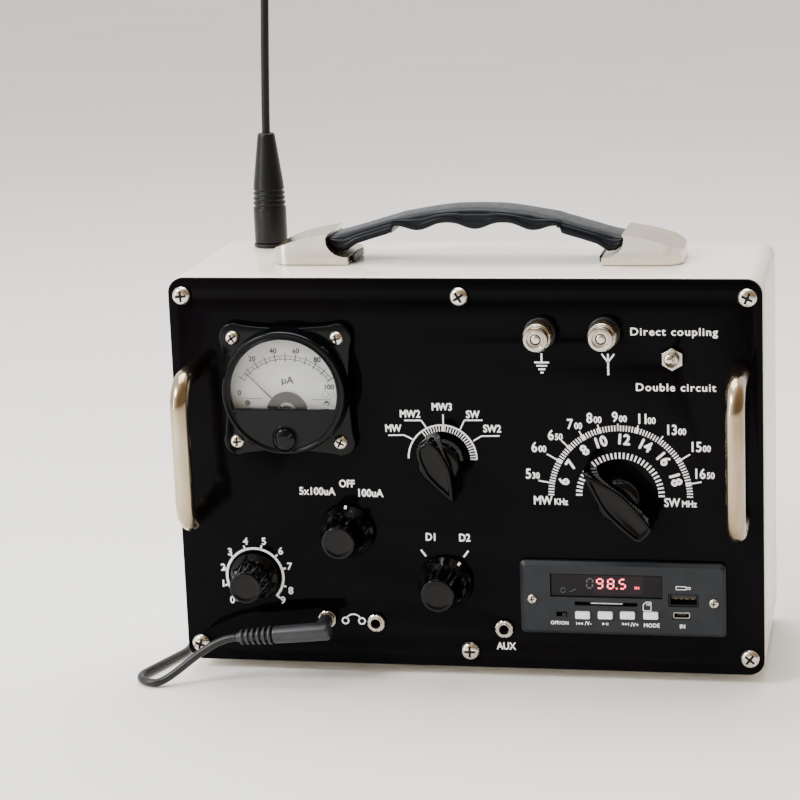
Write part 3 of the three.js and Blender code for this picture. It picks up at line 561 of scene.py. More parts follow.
FAR_Z = -4.0 + 4.02
for p in ((TX + 0.45, CY - 9, UPPER - 0.25), (TX + 2.0, CY - 15, UPPER - 0.8), (TX + 4.4, CY - 20, UPPER - 1.4),
          (TX + 8.0, CY - 23.6, FAR_Z + 0.1), (TX + 12.6, CY - 25, FAR_Z), (TX + 16.3, CY - 25, FAR_Z)):
    route.append(p)

cu = bpy.data.curves.new("phones_cord", "CURVE")
cu.dimensions = "3D"
sp = cu.splines.new("BEZIER")
sp.bezier_points.add(len(route) - 1)
RW = [W(*p) for p in route]
for i, bp in enumerate(sp.bezier_points):
    p = RW[i]
    a, b = RW[max(i - 1, 0)], RW[min(i + 1, len(RW) - 1)]
    t = (b - a).normalized()
    bp.co = p
    bp.handle_left_type = bp.handle_right_type = "FREE"
    bp.handle_left = p - t * ((p - a).length / 3 if i else 0.0005)
    bp.handle_right = p + t * ((b - p).length / 3 if i < len(RW) - 1 else 0.0005)
cu.resolution_u = 6
cu.bevel_depth = CR / 1000
cu.bevel_resolution = 5
cu.use_fill_caps = True
cu.materials.append(M["cord"])
cord = bpy.data.objects.new("phones_cord", cu)
scene.collection.objects.link(cord)
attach(cord, "root")
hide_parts("phones_lead", "phones_lead_coil")
CORD_LEN = 0.0
for i in range(len(RW) - 1):
    A, B = sp.bezier_points[i], sp.bezier_points[i + 1]
    last = A.co.copy()
    for k in range(1, 13):
        q = bez(A.co, A.handle_right, B.handle_left, B.co, k / 12)
        CORD_LEN += (q - last).length
        last = q
CORD_LEN = round(CORD_LEN, 4)


# plug body along its own axis, with moulded ribs on the strain relief
def along_plug(prof, seg=32, rfun=None):
    v, f = lathe(prof, seg, (0, 0, 0), "X", rfun)
    ang = math.atan2(DIR.z, DIR.x)
    return [(PLUG[0] + x * cos(ang) - z * sin(ang), PY + y, PLUG[1] + x * sin(ang) + z * cos(ang)) for x, y, z in v], f


g = G()
g.add(along_plug(soften([(0, -5.4), (3.3, -5.4, .8), (4.1, -4.4, .8), (4.1, 3.0), (4.05, 12.0, 3), (3.9, 18.4, .4), (3.9, 20.3, .5),
                         (3.1, 20.35, .2), (0, 20.35)], 5), 36, lambda r, a, t: r * (1 - 0.05 * (cos(2 * t) ** 4))))
prof = [(0, 20.25), (2.2, 20.25)]
s0, s1 = 20.35, SPAN - 0.3
nr = 6
for i in range(nr):
    st = (s1 - s0 - 1.4) / nr
    a = s0 + 0.9 + st * i
    R = 4.15 - 1.0 * i / nr
    prof += [(2.15, a), (R - 0.12, a + 0.08), (R, a + 0.35), (R, a + 0.95), (R - 0.12, a + 1.2), (2.1, a + 1.3)]
prof += [(2.1, s1 - 0.6), (2.1, s1 - 0.3), (1.95, s1), (0, s1)]
g.add(along_plug(prof, 28))
g.add(lathe(soften([(0, PY + 3.0), (3.2, PY + 3.0), (3.2, -4.4, .3), (2.9, -3.0, .3), (0, -3.0)], 3), 32, (PLUG[0], 0, PLUG[1])))
plug = piece("phones_plug_body", g, "root", "plugmat", sharp=30)
pin = piece("phones_plug_pin", lathe(soften([(0, -3.05), (1.7, -3.05), (1.7, 2.0), (1.45, 2.3), (1.7, 2.7), (1.7, 8.6), (1.2, 9.2),
                                             (1.6, 10.0, .3), (0.5, 11.0, .3), (0, 11.0)], 2), 24, (PLUG[0], 0, PLUG[1])),
            "root", "chrome")
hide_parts("phones_plug")
# far plug: straight 3.5 mm plug lying beside the coil
fx, fy = TX + 16.5 + 0.3, CY - 25
g = G()
prof = [(0, 0), (1.9, 0), (2.25, 0.3), (2.3, 0.9)]
for i in range(5):
    a = 1.3 + 1.72 * i
    prof += [(2.05 + .05 * i, a), (2.6 + .06 * i, a + .25), (2.6 + .06 * i, a + .85), (2.05 + .05 * i, a + 1.1)]
prof += [(2.9, 10.0), (3.4, 10.1), (3.95, 10.6), (4.0, 11.6), (4.0, 26.6), (3.6, 27.7), (2.9, 28.0), (0, 28.0)]
g.add(lathe(prof, 32, (fx, fy, FAR_Z), "X", lambda r, a, t: r * (1 - (0.03 if 13 < a < 25 and int(t * 40 / pi) % 2 else 0))))
far_body = piece("far_plug_body", g, "root", "plugmat")
far_pin = piece("far_plug_pin", lathe([(0, 27.8), (1.75, 27.8), (1.75, 33.0), (1.5, 33.2), (1.75, 33.4), (1.75, 36.0), (1.5, 36.2), (1.75, 36.4),
                                       (1.75, 39.6), (1.2, 40.4), (1.6, 41.2), (1.3, 42.0), (0.6, 42.5), (0, 42.5)], 28,
                                      (fx, fy, FAR_Z), "X"), "root", "chrome")
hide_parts("far_plug")
# strap that holds the coil's turns together
ta = rad(262)
tc_, tr_ = Vector((CX + 20.5 * cos(ta), CY + 20.5 * sin(ta), 0)), Vector((cos(ta), sin(ta), 0))
tn_ = Vector((-sin(ta), cos(ta), 0))
sec = []
hw, zb, zt = 5.55, COIL_Z - 1.80, UPPER + 1.8
for cx_, cz_, a0 in ((hw - 1.7, zb + 1.7, -90), (hw - 1.7, zt - 1.7, 0), (-hw + 1.7, zt - 1.7, 90), (-hw + 1.7, zb + 1.7, 180)):
    for i in range(5):
        a = rad(a0 + 90 * i / 4)
        sec.append((cx_ + 1.7 * cos(a), cz_ + 1.7 * sin(a), cos(a), sin(a)))
rings = []
for off, half in ((0.0, 4.0), (0.32, 4.0), (0.38, 3.8), (0.38, -3.8), (0.32, -4.0), (0.0, -4.0)):
    rings.append([tc_ + tr_ * (u + off * cu_) + tn_ * half + Vector((0, 0, max(v_ + off * cv_, -3.98))) for u, v_, cu_, cv_ in sec])
strap = piece("coil_strap", loft(rings, closed=True), "root", "satin")

# ------------------------------------------------------------ carried-over nodes
def dress(node, mat, bevel=0.25):
    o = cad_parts[node]
    if not o.data.materials:
        o.data.materials.append(M[mat])
    for i in range(len(o.material_slots)):
        o.material_slots[i].material = M[mat]
    if bevel:
        b = o.modifiers.new("edge", "BEVEL")
        b.width, b.segments, b.limit_method, b.angle_limit = bevel / 1000, 2, "ANGLE", rad(38)
        b.harden_normals = True


for node, mat in {"rear_cover": "cream", "tuning_capacitor": "alu", "tuning_rotor": "alu", "band_switch": "steel",
                  "range_switch": "steel", "detector_switch": "steel", "volume_pot": "steel", "coil_former": "winding",
                  "loudspeaker": "cone"}.items():
    dress(node, mat, 0.2)


def cut_mesh(a, b, mode="DIFFERENCE"):
    """Boolean of two closed shapes drawn in millimetres."""
    obs = []
    for v, f in (a, b):
        me = bpy.data.meshes.new("tmp")
        me.from_pydata([Vector(p) for p in v], [], f)
        bm = bmesh.new()
        bm.from_mesh(me)
        bmesh.ops.remove_doubles(bm, verts=bm.verts, dist=1e-4)
        bmesh.ops.recalc_face_normals(bm, faces=bm.faces)
        bm.to_mesh(me)
        bm.free()
        o = bpy.data.objects.new("tmp", me)
        scene.collection.objects.link(o)
        obs.append(o)
    md = obs[0].modifiers.new("b", "BOOLEAN")
    md.operation, md.solver, md.object = mode, "EXACT", obs[1]
    bpy.context.view_layer.update()
    me = bpy.data.meshes.new_from_object(obs[0].evaluated_get(bpy.context.evaluated_depsgraph_get()))
    v = [tuple(p.co) for p in me.vertices]
    f = [list(p.vertices) for p in me.polygons]
    for o in obs:
        bpy.data.objects.remove(o)
    bpy.data.meshes.remove(me)
    return v, f


def smooth_line(pts, n=6, closed=False):
    """Catmull-Rom line through 2-D points."""
    out, m = [], len(pts)
    segs = m if closed else m - 1
    for i in range(segs):
        p0 = pts[(i - 1) % m] if closed else pts[max(i - 1, 0)]
        p1, p2 = pts[i], pts[(i + 1) % m]
        p3 = pts[(i + 2) % m] if closed else pts[min(i + 2, m - 1)]
        for k in range(n):
            t = k / n
            out.append(tuple(0.5 * ((2 * p1[j]) + (-p0[j] + p2[j]) * t + (2 * p0[j] - 5 * p1[j] + 4 * p2[j] - p3[j]) * t * t
                                    + (-p0[j] + 3 * p1[j] - 3 * p2[j] + p3[j]) * t ** 3) for j in range(len(p1))))
    if not closed:
        out.append(tuple(pts[-1]))
    return out


# ------------------------------------------------------------------ the case
def case_ring(inset, y, r0=CASE_R):
    return [(x, y, z) for x, z in rounded(-CASE_W / 2 + inset, CASE_W / 2 - inset, inset, CASE_H - inset, max(r0 - inset, 1.0), 10)]


prof = [(13, 3.5), (13, 2.3), (1.1, 2.3), (0.5, 2.42), (0.15, 2.75), (0, 3.3), (0, 20), (0, 45), (0, 70), (0, 89.2), (0.12, 89.7), (0.45, 90),
        (0.85, 90), (1.1, 89.85), (1.2, 89.5), (1.2, 88.2), (13, 88.2), (13, 87), (1.2, 87), (1.2, 3.5)]
piece("case_body", loft([case_ring(a, b) for a, b in prof], closed=True), "root", "cream", sharp=40, replaces=["case_shell"])
holes = [[(x + r * cos(2 * pi * i / 24), z + r * sin(2 * pi * i / 24)) for i in range(24)] for x, z, r in (
    [(x, z, 2.3) for x in (-123.5, 0, 123.5) for z in (8, 168)]
    + [(-53.5, 62.2, 4.9), (-10.2, 39.4, 4.9), (-9.6, 95.7, 4.9), (68.1, 80.4, 4.9), (-97, 39.9, 4.0), (91.6, 141.6, 3.4),
       (-64.4, 21, 3.2), (-42.2, 19.8, 3.2), (15.6, 18.7, 3.2), (34.9, 152.4, 3.3), (62.7, 152.8, 3.3), (-77, 127, 25.4)])]
holes.append([(26, 20.5), (111, 20.5), (111, 48.5), (26, 48.5)])
piece("front_plate", plate([rounded(-129.8, 129.8, 0.2, 175.8, 6.8, 12)] + holes, 0, 2.0, 0.3, 2), "root", "panel", sharp=35,
      replaces=["front_panel"])


# ----------------------------------------------------------- screws, one form
def cross(r_, w, d, y):
    g_ = G()
    for sx, sz in ((r_, w), (w, r_)):
        g_.add(prism([(-sx, -sz), (sx, -sz), (sx, sz), (-sx, sz)], y - 2, y + d))
    return g_


def screw_head(R, H, deg=20.0, recess=True):
    """Pan head with a cross recess, seat at y = 0, head towards -y."""
    dome = lathe(soften([(0, -H), (R * 0.45, -H * 0.97), (R * 0.8, -H * 0.78, R * .3), (R, -H * 0.28, R * .16), (R, 0, 0.1), (0, 0)], 5), 36)
    if recess:
        rr, ww = R * 0.60, R * 0.125
        body_ = cut_mesh(dome, prism([(-rr, -ww), (rr, -ww), (rr, ww), (-rr, ww)], -H - 1, -H * 0.38))
        dome = cut_mesh(body_, prism([(-ww, -rr), (ww, -rr), (ww, rr), (-ww, rr)], -H - 1, -H * 0.38))
        dome = cut_mesh(dome, lathe([(0, -H - 1), (R * 0.25, -H - 1), (R * 0.22, -H * .6), (0, -H * 0.2)], 16))
    return turned(dome, 0, 0, deg)


# dark insert filling the bottom of a cross recess, drawn in the recess material: painted shade
def recess_shade_insert(R, H, deg=20.0):
    rr, ww = R * 0.59, R * 0.12
    g_ = G()
    for sx, sz in ((rr, ww), (ww, rr)):
        g_.add(prism([(-sx, -sz), (sx, -sz), (sx, sz), (-sx, sz)], -H * 0.5 - 0.01 * (sx > sz), -H * 0.3))
    g_.add(prism([(1.9 * ww * cos(i * pi / 6), 1.9 * ww * sin(i * pi / 6)) for i in range(12)], -H * 0.52, -H * 0.3))
    return turned((g_.v, g_.f), 0, 0, deg)


SHADE_INSERT_BIG, SHADE_INSERT_MID, SHADE_INSERT_SMALL = recess_shade_insert(4.2, 2.6), recess_shade_insert(3.25, 2.3), recess_shade_insert(2.15, 1.3)
HEAD_BIG, HEAD_MID, HEAD_SMALL = screw_head(4.2, 2.6), screw_head(3.25, 2.3), screw_head(2.15, 1.3)


def place(vf, x, z, y, deg=0.0, back=False):
    v, f = turned(vf, 0, 0, deg)
    if back:
        return [(x - a, y - b, z + c) for a, b, c in v], f
    return [(x + a, y + b, z + c) for a, b, c in v], f


TURNS = (8, 52, -20, 31, 74, 12, 44, -8, 63, 25, 5, 38)
k = 0
for z in (8, 168):
    for x in (-123.5, 0, 123.5):
        k += 1
        piece(f"panel_screw_head_{k}", G().add(place(HEAD_BIG, x, z, -0.3, TURNS[k])).add(place(SHADE_INSERT_BIG, x, z, -0.3, TURNS[k]), 1), "root", ["screw", "recess"], sharp=28,
              replaces=[f"panel_screw_{k}"])
k = 0
for sx in (-1, 1):
    for sz in (-1, 1):
        k += 1
        piece(f"meter_screw_{k}", G().add(place(HEAD_MID, -77 + 23.25 * sx, 127 + 23.25 * sz, -4.6, TURNS[k + 3]))
              .add(place(SHADE_INSERT_MID, -77 + 23.25 * sx, 127 + 23.25 * sz, -4.6, TURNS[k + 3]), 1), "root", ["screw", "recess"], sharp=28)
for k, (x, z) in enumerate(((28.8, 33.9), (108.3, 33.8))):
    piece(f"module_screw_{k + 1}", G().add(place(HEAD_SMALL, x, z, -3.8, TURNS[k + 7])).add(place(SHADE_INSERT_SMALL, x, z, -3.8, TURNS[k + 7]), 1), "root", ["screw", "recess"], sharp=28)
k = 0
for x in (-121, 0, 121):
    for z in (7.5, 168.5):
        k += 1
        piece(f"rear_screw_{k}", G().add(place(HEAD_MID, x, z, 88.6, TURNS[k + 2], True)).add(place(SHADE_INSERT_MID, x, z, 88.6, TURNS[k + 2], True), 1), "root", ["screw", "recess"], sharp=28)

for i, (x, y) in enumerate(((-108, 20), (108, 20), (-108, 72), (108, 72))):
    piece(f"rubber_foot_{i + 1}", lathe(soften([(0, -2.2), (2.2, -2.2), (2.4, -3.9), (2.9, -4.0), (5.6, -4.0, .4), (6.5, -3.2, .5), (6.1, -0.9, .3),
                                                (5.8, -0.3), (0, -0.3)], 3), 40, (x, y, 0), "Z"), "root", "foot", sharp=40,
          replaces=[f"foot_{i + 1}"])

# --------------------------------------------------------- front pull handles
PULLS = {"left": -116.8, "right": 120.4}
for side, x in PULLS.items():
    r, out, b, zl, zh = 4.0, 34.8, 11.0, 72.5, 136.5
    path = [(x, -0.3, zl), (x, -8, zl), (x, -16, zl)]
    path += [(x, -out + b + b * cos(rad(a)), zl + b + b * sin(rad(a))) for a in range(270, 175, -9)]
    path += [(x, -out, z) for z in (92, 104, 117)]
    path += [(x, -out + b + b * cos(rad(a)), zh - b + b * sin(rad(a))) for a in range(180, 85, -9)]
    path += [(x, -16, zh), (x, -8, zh), (x, -0.3, zh)]
    g = G().add(tube(path, r, 28))
    piece(f"{side}_pull_bar", g, "root", "pull", sharp=40, replaces=[f"{side}_pull_handle"])

# ---------------------------------------------------------------- carry handle
Z0 = CASE_H


def hx(x):
    return 1.55 + 0.9834 * x


def pick(x, pts):
    x = abs(x)
    for (a, za), (b, zb_) in zip(pts, pts[1:]):
        if a <= x <= b:
            return za + (zb_ - za) * (x - a) / (b - a)
    return pts[-1][1] if x > pts[-1][0] else pts[0][1]


TOP = smooth_line([(0, 24.7), (10, 24.4), (22, 23), (32, 21.2), (41, 19), (55, 15), (61, 13.4), (67.3, 11.8)], 6)
UNDER = [(38.4, 15.6), (39.2, 13.3), (41, 12.6), (48, 10.6), (55, 8.4), (60, 5.2), (63.2, 5.6), (65.6, 7.2), (67, 9.2)]
rings = []
xs = [-66.6, -66.2] + [-65.6 + 0.8 * i for i in range(165)] + [66.2, 66.6]
for x in xs:
    zt = pick(x, TOP)
    if abs(x) <= 38.4:
        zb = 17.9 - 2.9 * (abs(cos(pi * x / 26)) ** 2) ** 1.4 - 1.6 * (abs(x) / 38) ** 3
        e = max(0.0, (abs(x) - 36.6) / 1.8)
        zb = zb + (13.3 - zb) * min(1, e) ** 2
    else:
        zb = pick(x, UNDER)
    shrink = 0.9 if abs(x) > 66.4 else (0.97 if abs(x) > 66.0 else 1.0)
    hw, mid = 12.0 * shrink, 45.0
    h = zt - zb
    # one side of the section, from the crown to the underside: crown, edge, two ribs, flank, under edge
    side = [(0.0, 0.10), (4.0, 0.0), (7.2, -0.10), (9.2, -0.45), (10.3, -1.1), (10.85, -1.9), (10.75, -2.35), (11.25, -2.75),
            (11.75, -3.3), (11.85, -3.9), (11.55, -4.35), (11.6, -4.75), (11.95, -5.2), (12.0, -6.0)]
    lim = h - 2.2
    fl = [(a, max(d, -lim) if h < 9.0 else d) for a, d in side]
    if h >= 9.0:
        fl += [(12.0, -h + 2.6), (11.6, -h + 1.2), (10.4, -h + 0.35), (8.5, -h), (4.0, -h), (0.0, -h)]
    else:
        fl = [(a, d * min(1.0, lim / 6.0)) for a, d in side]
        fl += [(12.0, -h + 1.9), (11.6, -h + 1.0), (10.4, -h + 0.3), (8.5, -h), (4.0, -h), (0.0, -h)]
    ring = [(hx(x), mid - a * shrink, Z0 + zt + d) for a, d in fl]
    ring += [(hx(x), mid + a * shrink, Z0 + zt + d) for a, d in fl[-2:0:-1]]
    rings.append(ring)
piece("carry_grip_skin", loft(rings), "root", "grip", sharp=50, replaces=["carry_grip"])

SHOE_TOP = smooth_line([(93.5, 5.6), (92.6, 6.8), (91.0, 7.8), (86, 9.6), (78, 11.8), (70, 13.2), (66.8, 13.6)], 5)
for side, s in (("left", -1), ("right", 1)):
    out = [(57.6, 0.3), (93.5, 0.3)] + SHOE_TOP + [(67.7, 11.9), (67.5, 10.7), (67.4, 9.5), (66.8, 8.1), (65.9, 6.9), (64.8, 5.8), (63.4, 4.8), (61.8, 4.1), (60, 3.7), (57.6, 3.5)]
    poly = [(hx(s * x), Z0 + z) for x, z in out]
    body_ = prism(poly, 28.5, 61.5)
    x_in, x_out = hx(s * 50), hx(s * 93.55)
    xa, xb = min(x_in, x_out), max(x_in, x_out)
    plan = []
    for cx, cy, a in ((xb - 9, 28.45 + 9, -90), (xb - 9, 61.55 - 9, 0), (xa + 9, 61.55 - 9, 90), (xa + 9, 28.45 + 9, 180)):
        outer = (cx > (xa + xb) / 2) == (s > 0)
        R = 9.0 if outer else 0.5
        px = cx + (9 - R) * (1 if cx > (xa + xb) / 2 else -1)
        py = cy + (9 - R) * (1 if cy > 45 else -1)
        plan += [(px + R * cos(rad(a + 9 * i)), py + R * sin(rad(a + 9 * i))) for i in range(11)]
    slab_v = [(x, y, Z0 - 1) for x, y in plan] + [(x, y, Z0 + 20) for x, y in plan]
    n = len(plan)
    slab = (slab_v, [[i, (i + 1) % n, n + (i + 1) % n, n + i] for i in range(n)] + [list(range(n)), list(range(2 * n - 1, n - 1, -1))])
    shoe = piece(f"carry_shoe_{side}", cut_mesh(body_, slab, "INTERSECT"), "root", "shoe", sharp=34, bevel=0.7, bevel_seg=3, bevel_angle=32,
          replaces=[f"carry_handle_end_{side}"])
    # faces that point up get the tan copy: painted reflection of brown surroundings on the nickel tops
    shoe.data.materials.append(M["shoe_top"])
    for p_ in shoe.data.polygons:
        if p_.normal.z > 0.55:
            p_.material_index = 1
    # thin black block at the inner end of each shoe below the grip: painted shade standing in for the shadowed inner
    # end face
    piece(f"carry_shade_block_{side}", block(min(hx(s * 55.9), hx(s * 57.3)), max(hx(s * 55.9), hx(s * 57.3)), 35, 55, Z0 + 0.3, Z0 + 3.6), "root", "satin",
          bevel=0.6)

# --------------------------------------------------------------------- antenna
AX, AY = -102.5, 77.0
piece("antenna_connector", lathe([(0, 168), (4.3, 168), (4.3, 175.4), (7.9, 176.3), (8.0, 176.5), (8.0, 177.4), (7.7, 177.8), (3.1, 177.8), (3.1, 182), (2.7, 182.4), (0, 182.4)], 48,
                                  (AX, AY, 0), "Z"), "root", "satin", sharp=35, replaces=["antenna_socket"])
prof = [(3.3, 178.1), (7.2, 178.1), (7.6, 178.5), (7.6, 193.6)]
for i in range(4):
    a = 195.0 + 2.3 * i
    R = 7.45 - 0.10 * i
    prof += [(R + 0.1, a - 0.35), (R - 0.55, a), (R - 0.55, a + 0.7), (R + 0.1, a + 1.05)]
prof += [(7.05, 204.0), (6.75, 207), (6.1, 212), (5.4, 217.5), (4.7, 223), (4.1, 227.4), (3.8, 228.6), (3.3, 229.0), (2.2, 229.0), (2.2, 224), (0, 223.5), (0, 184.5), (3.3, 184)]
prof += [(3.3, 178.1)]
piece("antenna_boot", lathe(soften([(a, b, 0.2) for a, b in prof], 2), 56, (AX, AY, 0), "Z"), "root", "rubber", sharp=45, replaces=["antenna_base"])


def whip_x(z):
    t = max(0.0, z - 229.0)
    return 0.047 * t - 0.9 * (1 - math.exp(-t / 18.0)) * 0.5


path = [(AX, AY, 220.5)] + [(AX + whip_x(z), AY, z) for z in [229 + 4 * i for i in range(0, 10)] + [270 + 14 * i for i in range(20)] + [543.4]]
rr = [1.9] * 11 + [1.9 - 0.5 * i / 20 for i in range(21)]
g = G().add(tube(path, rr[:len(path)], 20))
g.add(lathe(soften([(0, 543), (1.6, 543, .2), (2.3, 545, .6), (2.3, 549.6, .9), (1.2, 551.0, .4), (0, 551)], 4), 28, (AX + whip_x(547), AY, 0), "Z"))
piece("antenna_rod", g, "root", "rubber", sharp=40, replaces=["antenna_whip"])

# ----------------------------------------------------------------------- meter
MX, MZ, EAR, CH = -77.0, 127.0, 23.25, -7.2
PZ = MZ - 9.6


def flange_outline(e=6.4, dip=26.2, grow=0.0):
    out = []
    for q_ in range(4):
        a = q_ * pi / 2 + pi / 4
        cx, cz = MX + EAR * math.sqrt(2) * cos(a), MZ + EAR * math.sqrt(2) * sin(a)
        pts_ = [(cx + (e + grow) * cos(a - 1.25 + 2.5 * i / 14), cz + (e + grow) * sin(a - 1.25 + 2.5 * i / 14)) for i in range(15)]
        if out:
            p0, p2 = out[-1], pts_[0]
            m = a - pi / 4
            p1 = (MX + (dip + grow) * cos(m), MZ + (dip + grow) * sin(m))
            out += [((1 - t) ** 2 * p0[0] + 2 * t * (1 - t) * p1[0] + t * t * p2[0], (1 - t) ** 2 * p0[1] + 2 * t * (1 - t) * p1[1] + t * t * p2[1])
                    for t in [i / 10 for i in range(1, 10)]]
        out += pts_
    p0, p2 = out[-1], out[0]
    p1 = (MX + dip + grow, MZ)
    out += [((1 - t) ** 2 * p0[0] + 2 * t * (1 - t) * p1[0] + t * t * p2[0], (1 - t) ** 2 * p0[1] + 2 * t * (1 - t) * p1[1] + t * t * p2[1])
            for t in [i / 10 for i in range(1, 10)]]
    return out


def pane(r, chord=CH, n=48):
    a = math.degrees(math.asin(chord / r))
    return arc(MX, MZ, r, a, 180 - a, n)


g = G()
g.add(plate([flange_outline(), [(MX + 24.9 * cos(2 * pi * i / 48), MZ + 24.9 * sin(2 * pi * i / 48)) for i in range(48)]], -4.6, -0.3, 0.8, 3))
g.add(lathe(soften([(28.6, -3.2), (28.3, -4.3), (27.75, -9.6), (27.5, -11.1, .6), (26.9, -12.0, .5), (25.9, -12.0, .3), (25.5, -11.45, .2), (24.55, -11.3), (24.55, -2.0),
                    (28.0, -2.0), (28.6, -3.2)], 4), 96, (MX, 0, MZ)))
piece("meter_frame", g, "root", "gloss", sharp=34, replaces=["meter_housing"])
circle = [(MX + 25.0 * cos(2 * pi * i / 72), MZ + 25.0 * sin(2 * pi * i / 72)) for i in range(72)]
g = G().add(plate([circle, pane(23.9)], -11.75, -9.4, 0.35, 2))
low = arc(MX, MZ, 24.4, math.degrees(math.asin(CH / 24.4)) - 360, -180 - math.degrees(math.asin(CH / 24.4)), 30)
low = [p for p in arc(MX, MZ, 24.4, 180 - math.degrees(math.asin(CH / 24.4)), 360 + math.degrees(math.asin(CH / 24.4)), 30)]
g.add(prism(low, -9.5, -8.7))
piece("meter_front_mask", g, "root", "gloss", sharp=34)
piece("meter_pane", plate([pane(24.2, CH - 0.6)], -9.35, -8.75, 0.12, 1), "root", "glass", sharp=30, replaces=["meter_window"])
piece("meter_dial_card", plate([pane(24.2, -11.4)], -4.9, -4.2, 0.1, 1), "root", "dial", sharp=30, replaces=["meter_scale_plate"])
yi, ti = -4.95, 0.03
g = G()
for r0, r1 in ((22.9, 23.15), (24.3, 24.5)):
    g.add(band(MX, PZ, r0, r1, 143, 37, 60, yi, ti))
for i in range(21):
    a = rad(143 - 5.3 * i)
    r1 = 25.6 if i % 2 == 0 else 24.4
    w = 0.36 if i % 2 == 0 else 0.22
    r0 = 22.0 if i % 2 == 0 else 22.9
    g.add(stroke((MX + r0 * cos(a), PZ + r0 * sin(a)), (MX + r1 * cos(a), PZ + r1 * sin(a)), w, yi, ti))
for s, a, rn in (("0", 158, 22.2), ("20", 122, 27.2), ("40", 101, 27.0), ("60", 80, 26.9), ("80", 59, 26.6), ("100", 31, 21.6)):
    g.add(text(s, MX + rn * cos(rad(a)), PZ + rn * sin(rad(a)), 2.15, y=yi, thick=ti, weight=0.09))
g.add(text("µA", MX + 0.6, PZ + 13.6, 3.1, y=yi, thick=ti, weight=0.10))
g.add(stroke((MX - 18.2, PZ + 5.9), (MX - 11.0, PZ + 5.9), 0.22, yi, ti))
g.add(band(MX + 16.6, PZ + 7.9, 1.3, 1.45, 0, 360, 24, yi, ti))
g.add(stroke((MX + 10.6, PZ + 5.6), (MX + 18.8, PZ + 5.6), 0.22, yi, ti))
piece("meter_scale_print", g, "root", "ink", sharp=30)
cover = [(MX + 9.0 * cos(rad(a)), PZ + 9.0 * sin(rad(a))) for a in range(0, 181, 6)] + [(MX - 9.0, PZ - 1.2), (MX + 9.0, PZ - 1.2)]
g = G().add(plate([cover], -5.9, -4.95, 0.3, 2))
piece("meter_pivot_cover", g, "root", "satin")
g = G().add(band(MX, PZ, 3.2, 4.4, 20, 160, 20, -6.0, 0.12))
g.add(block(MX - 5.6, MX + 5.6, -6.1, -5.9, PZ + 1.0, PZ + 1.8))
piece("meter_pivot_bridge", g, "root", "steel")
for k, sx in enumerate((-17.2, 17.0)):
    piece(f"meter_dial_screw_{k + 1}", G().add(place(screw_head(1.25, 0.6, 30), MX + sx, PZ + 3.95, -4.9, 20 * k)), "root", "recess")
# pointer: tapered needle, hub, tail weight; drawn at zero
a = rad(135)
ux, uz = cos(a), sin(a)
nx, nz = -uz, ux
def along_needle(s, t):
    return (MX + ux * s + nx * t, PZ + uz * s + nz * t)
g = G()
g.add(prism([along_needle(-5.2, -0.75), along_needle(-5.2, 0.75), along_needle(-1.5, 0.6), along_needle(-1.5, -0.6)], -6.9, -6.0))
g.add(prism([along_needle(-2, -0.34), along_needle(24.6, -0.13), along_needle(24.6, 0.13), along_needle(-2, 0.34)], -6.6, -6.25))
g.add(lathe(soften([(0, -7.3), (1.2, -7.3, .2), (2.2, -6.9, .3), (2.2, -6.05), (0.9, -6.05), (0.9, 5), (0, 5)], 3), 28, (MX, 0, PZ)))
piece("meter_pointer", g, "needle", "recess", sharp=35, replaces=["meter_movement"])
zs = MZ - 20.4
head = lathe(soften([(0, -13.95), (2.6, -13.85, 1), (4.5, -13.0, .8), (4.9, -12.35), (4.6, -12.3), (0, -12.3)], 5), 48, (MX, 0, zs))
head = cut_mesh(head, block(MX - 6, MX + 6, -15, -13.0, zs - 0.55, zs + 0.55))
piece("meter_zero_cap", turned(head, MX, zs, 38), "zero_screw", "bakelite", sharp=32, replaces=["meter_zero_screw"])
piece("meter_zero_ring", lathe(soften([(5.1, -11.7), (5.5, -12.15, .15), (5.9, -12.1, .15), (6.1, -11.7), (5.1, -11.7)], 2), 48, (MX, 0, zs)), "root", "gloss")

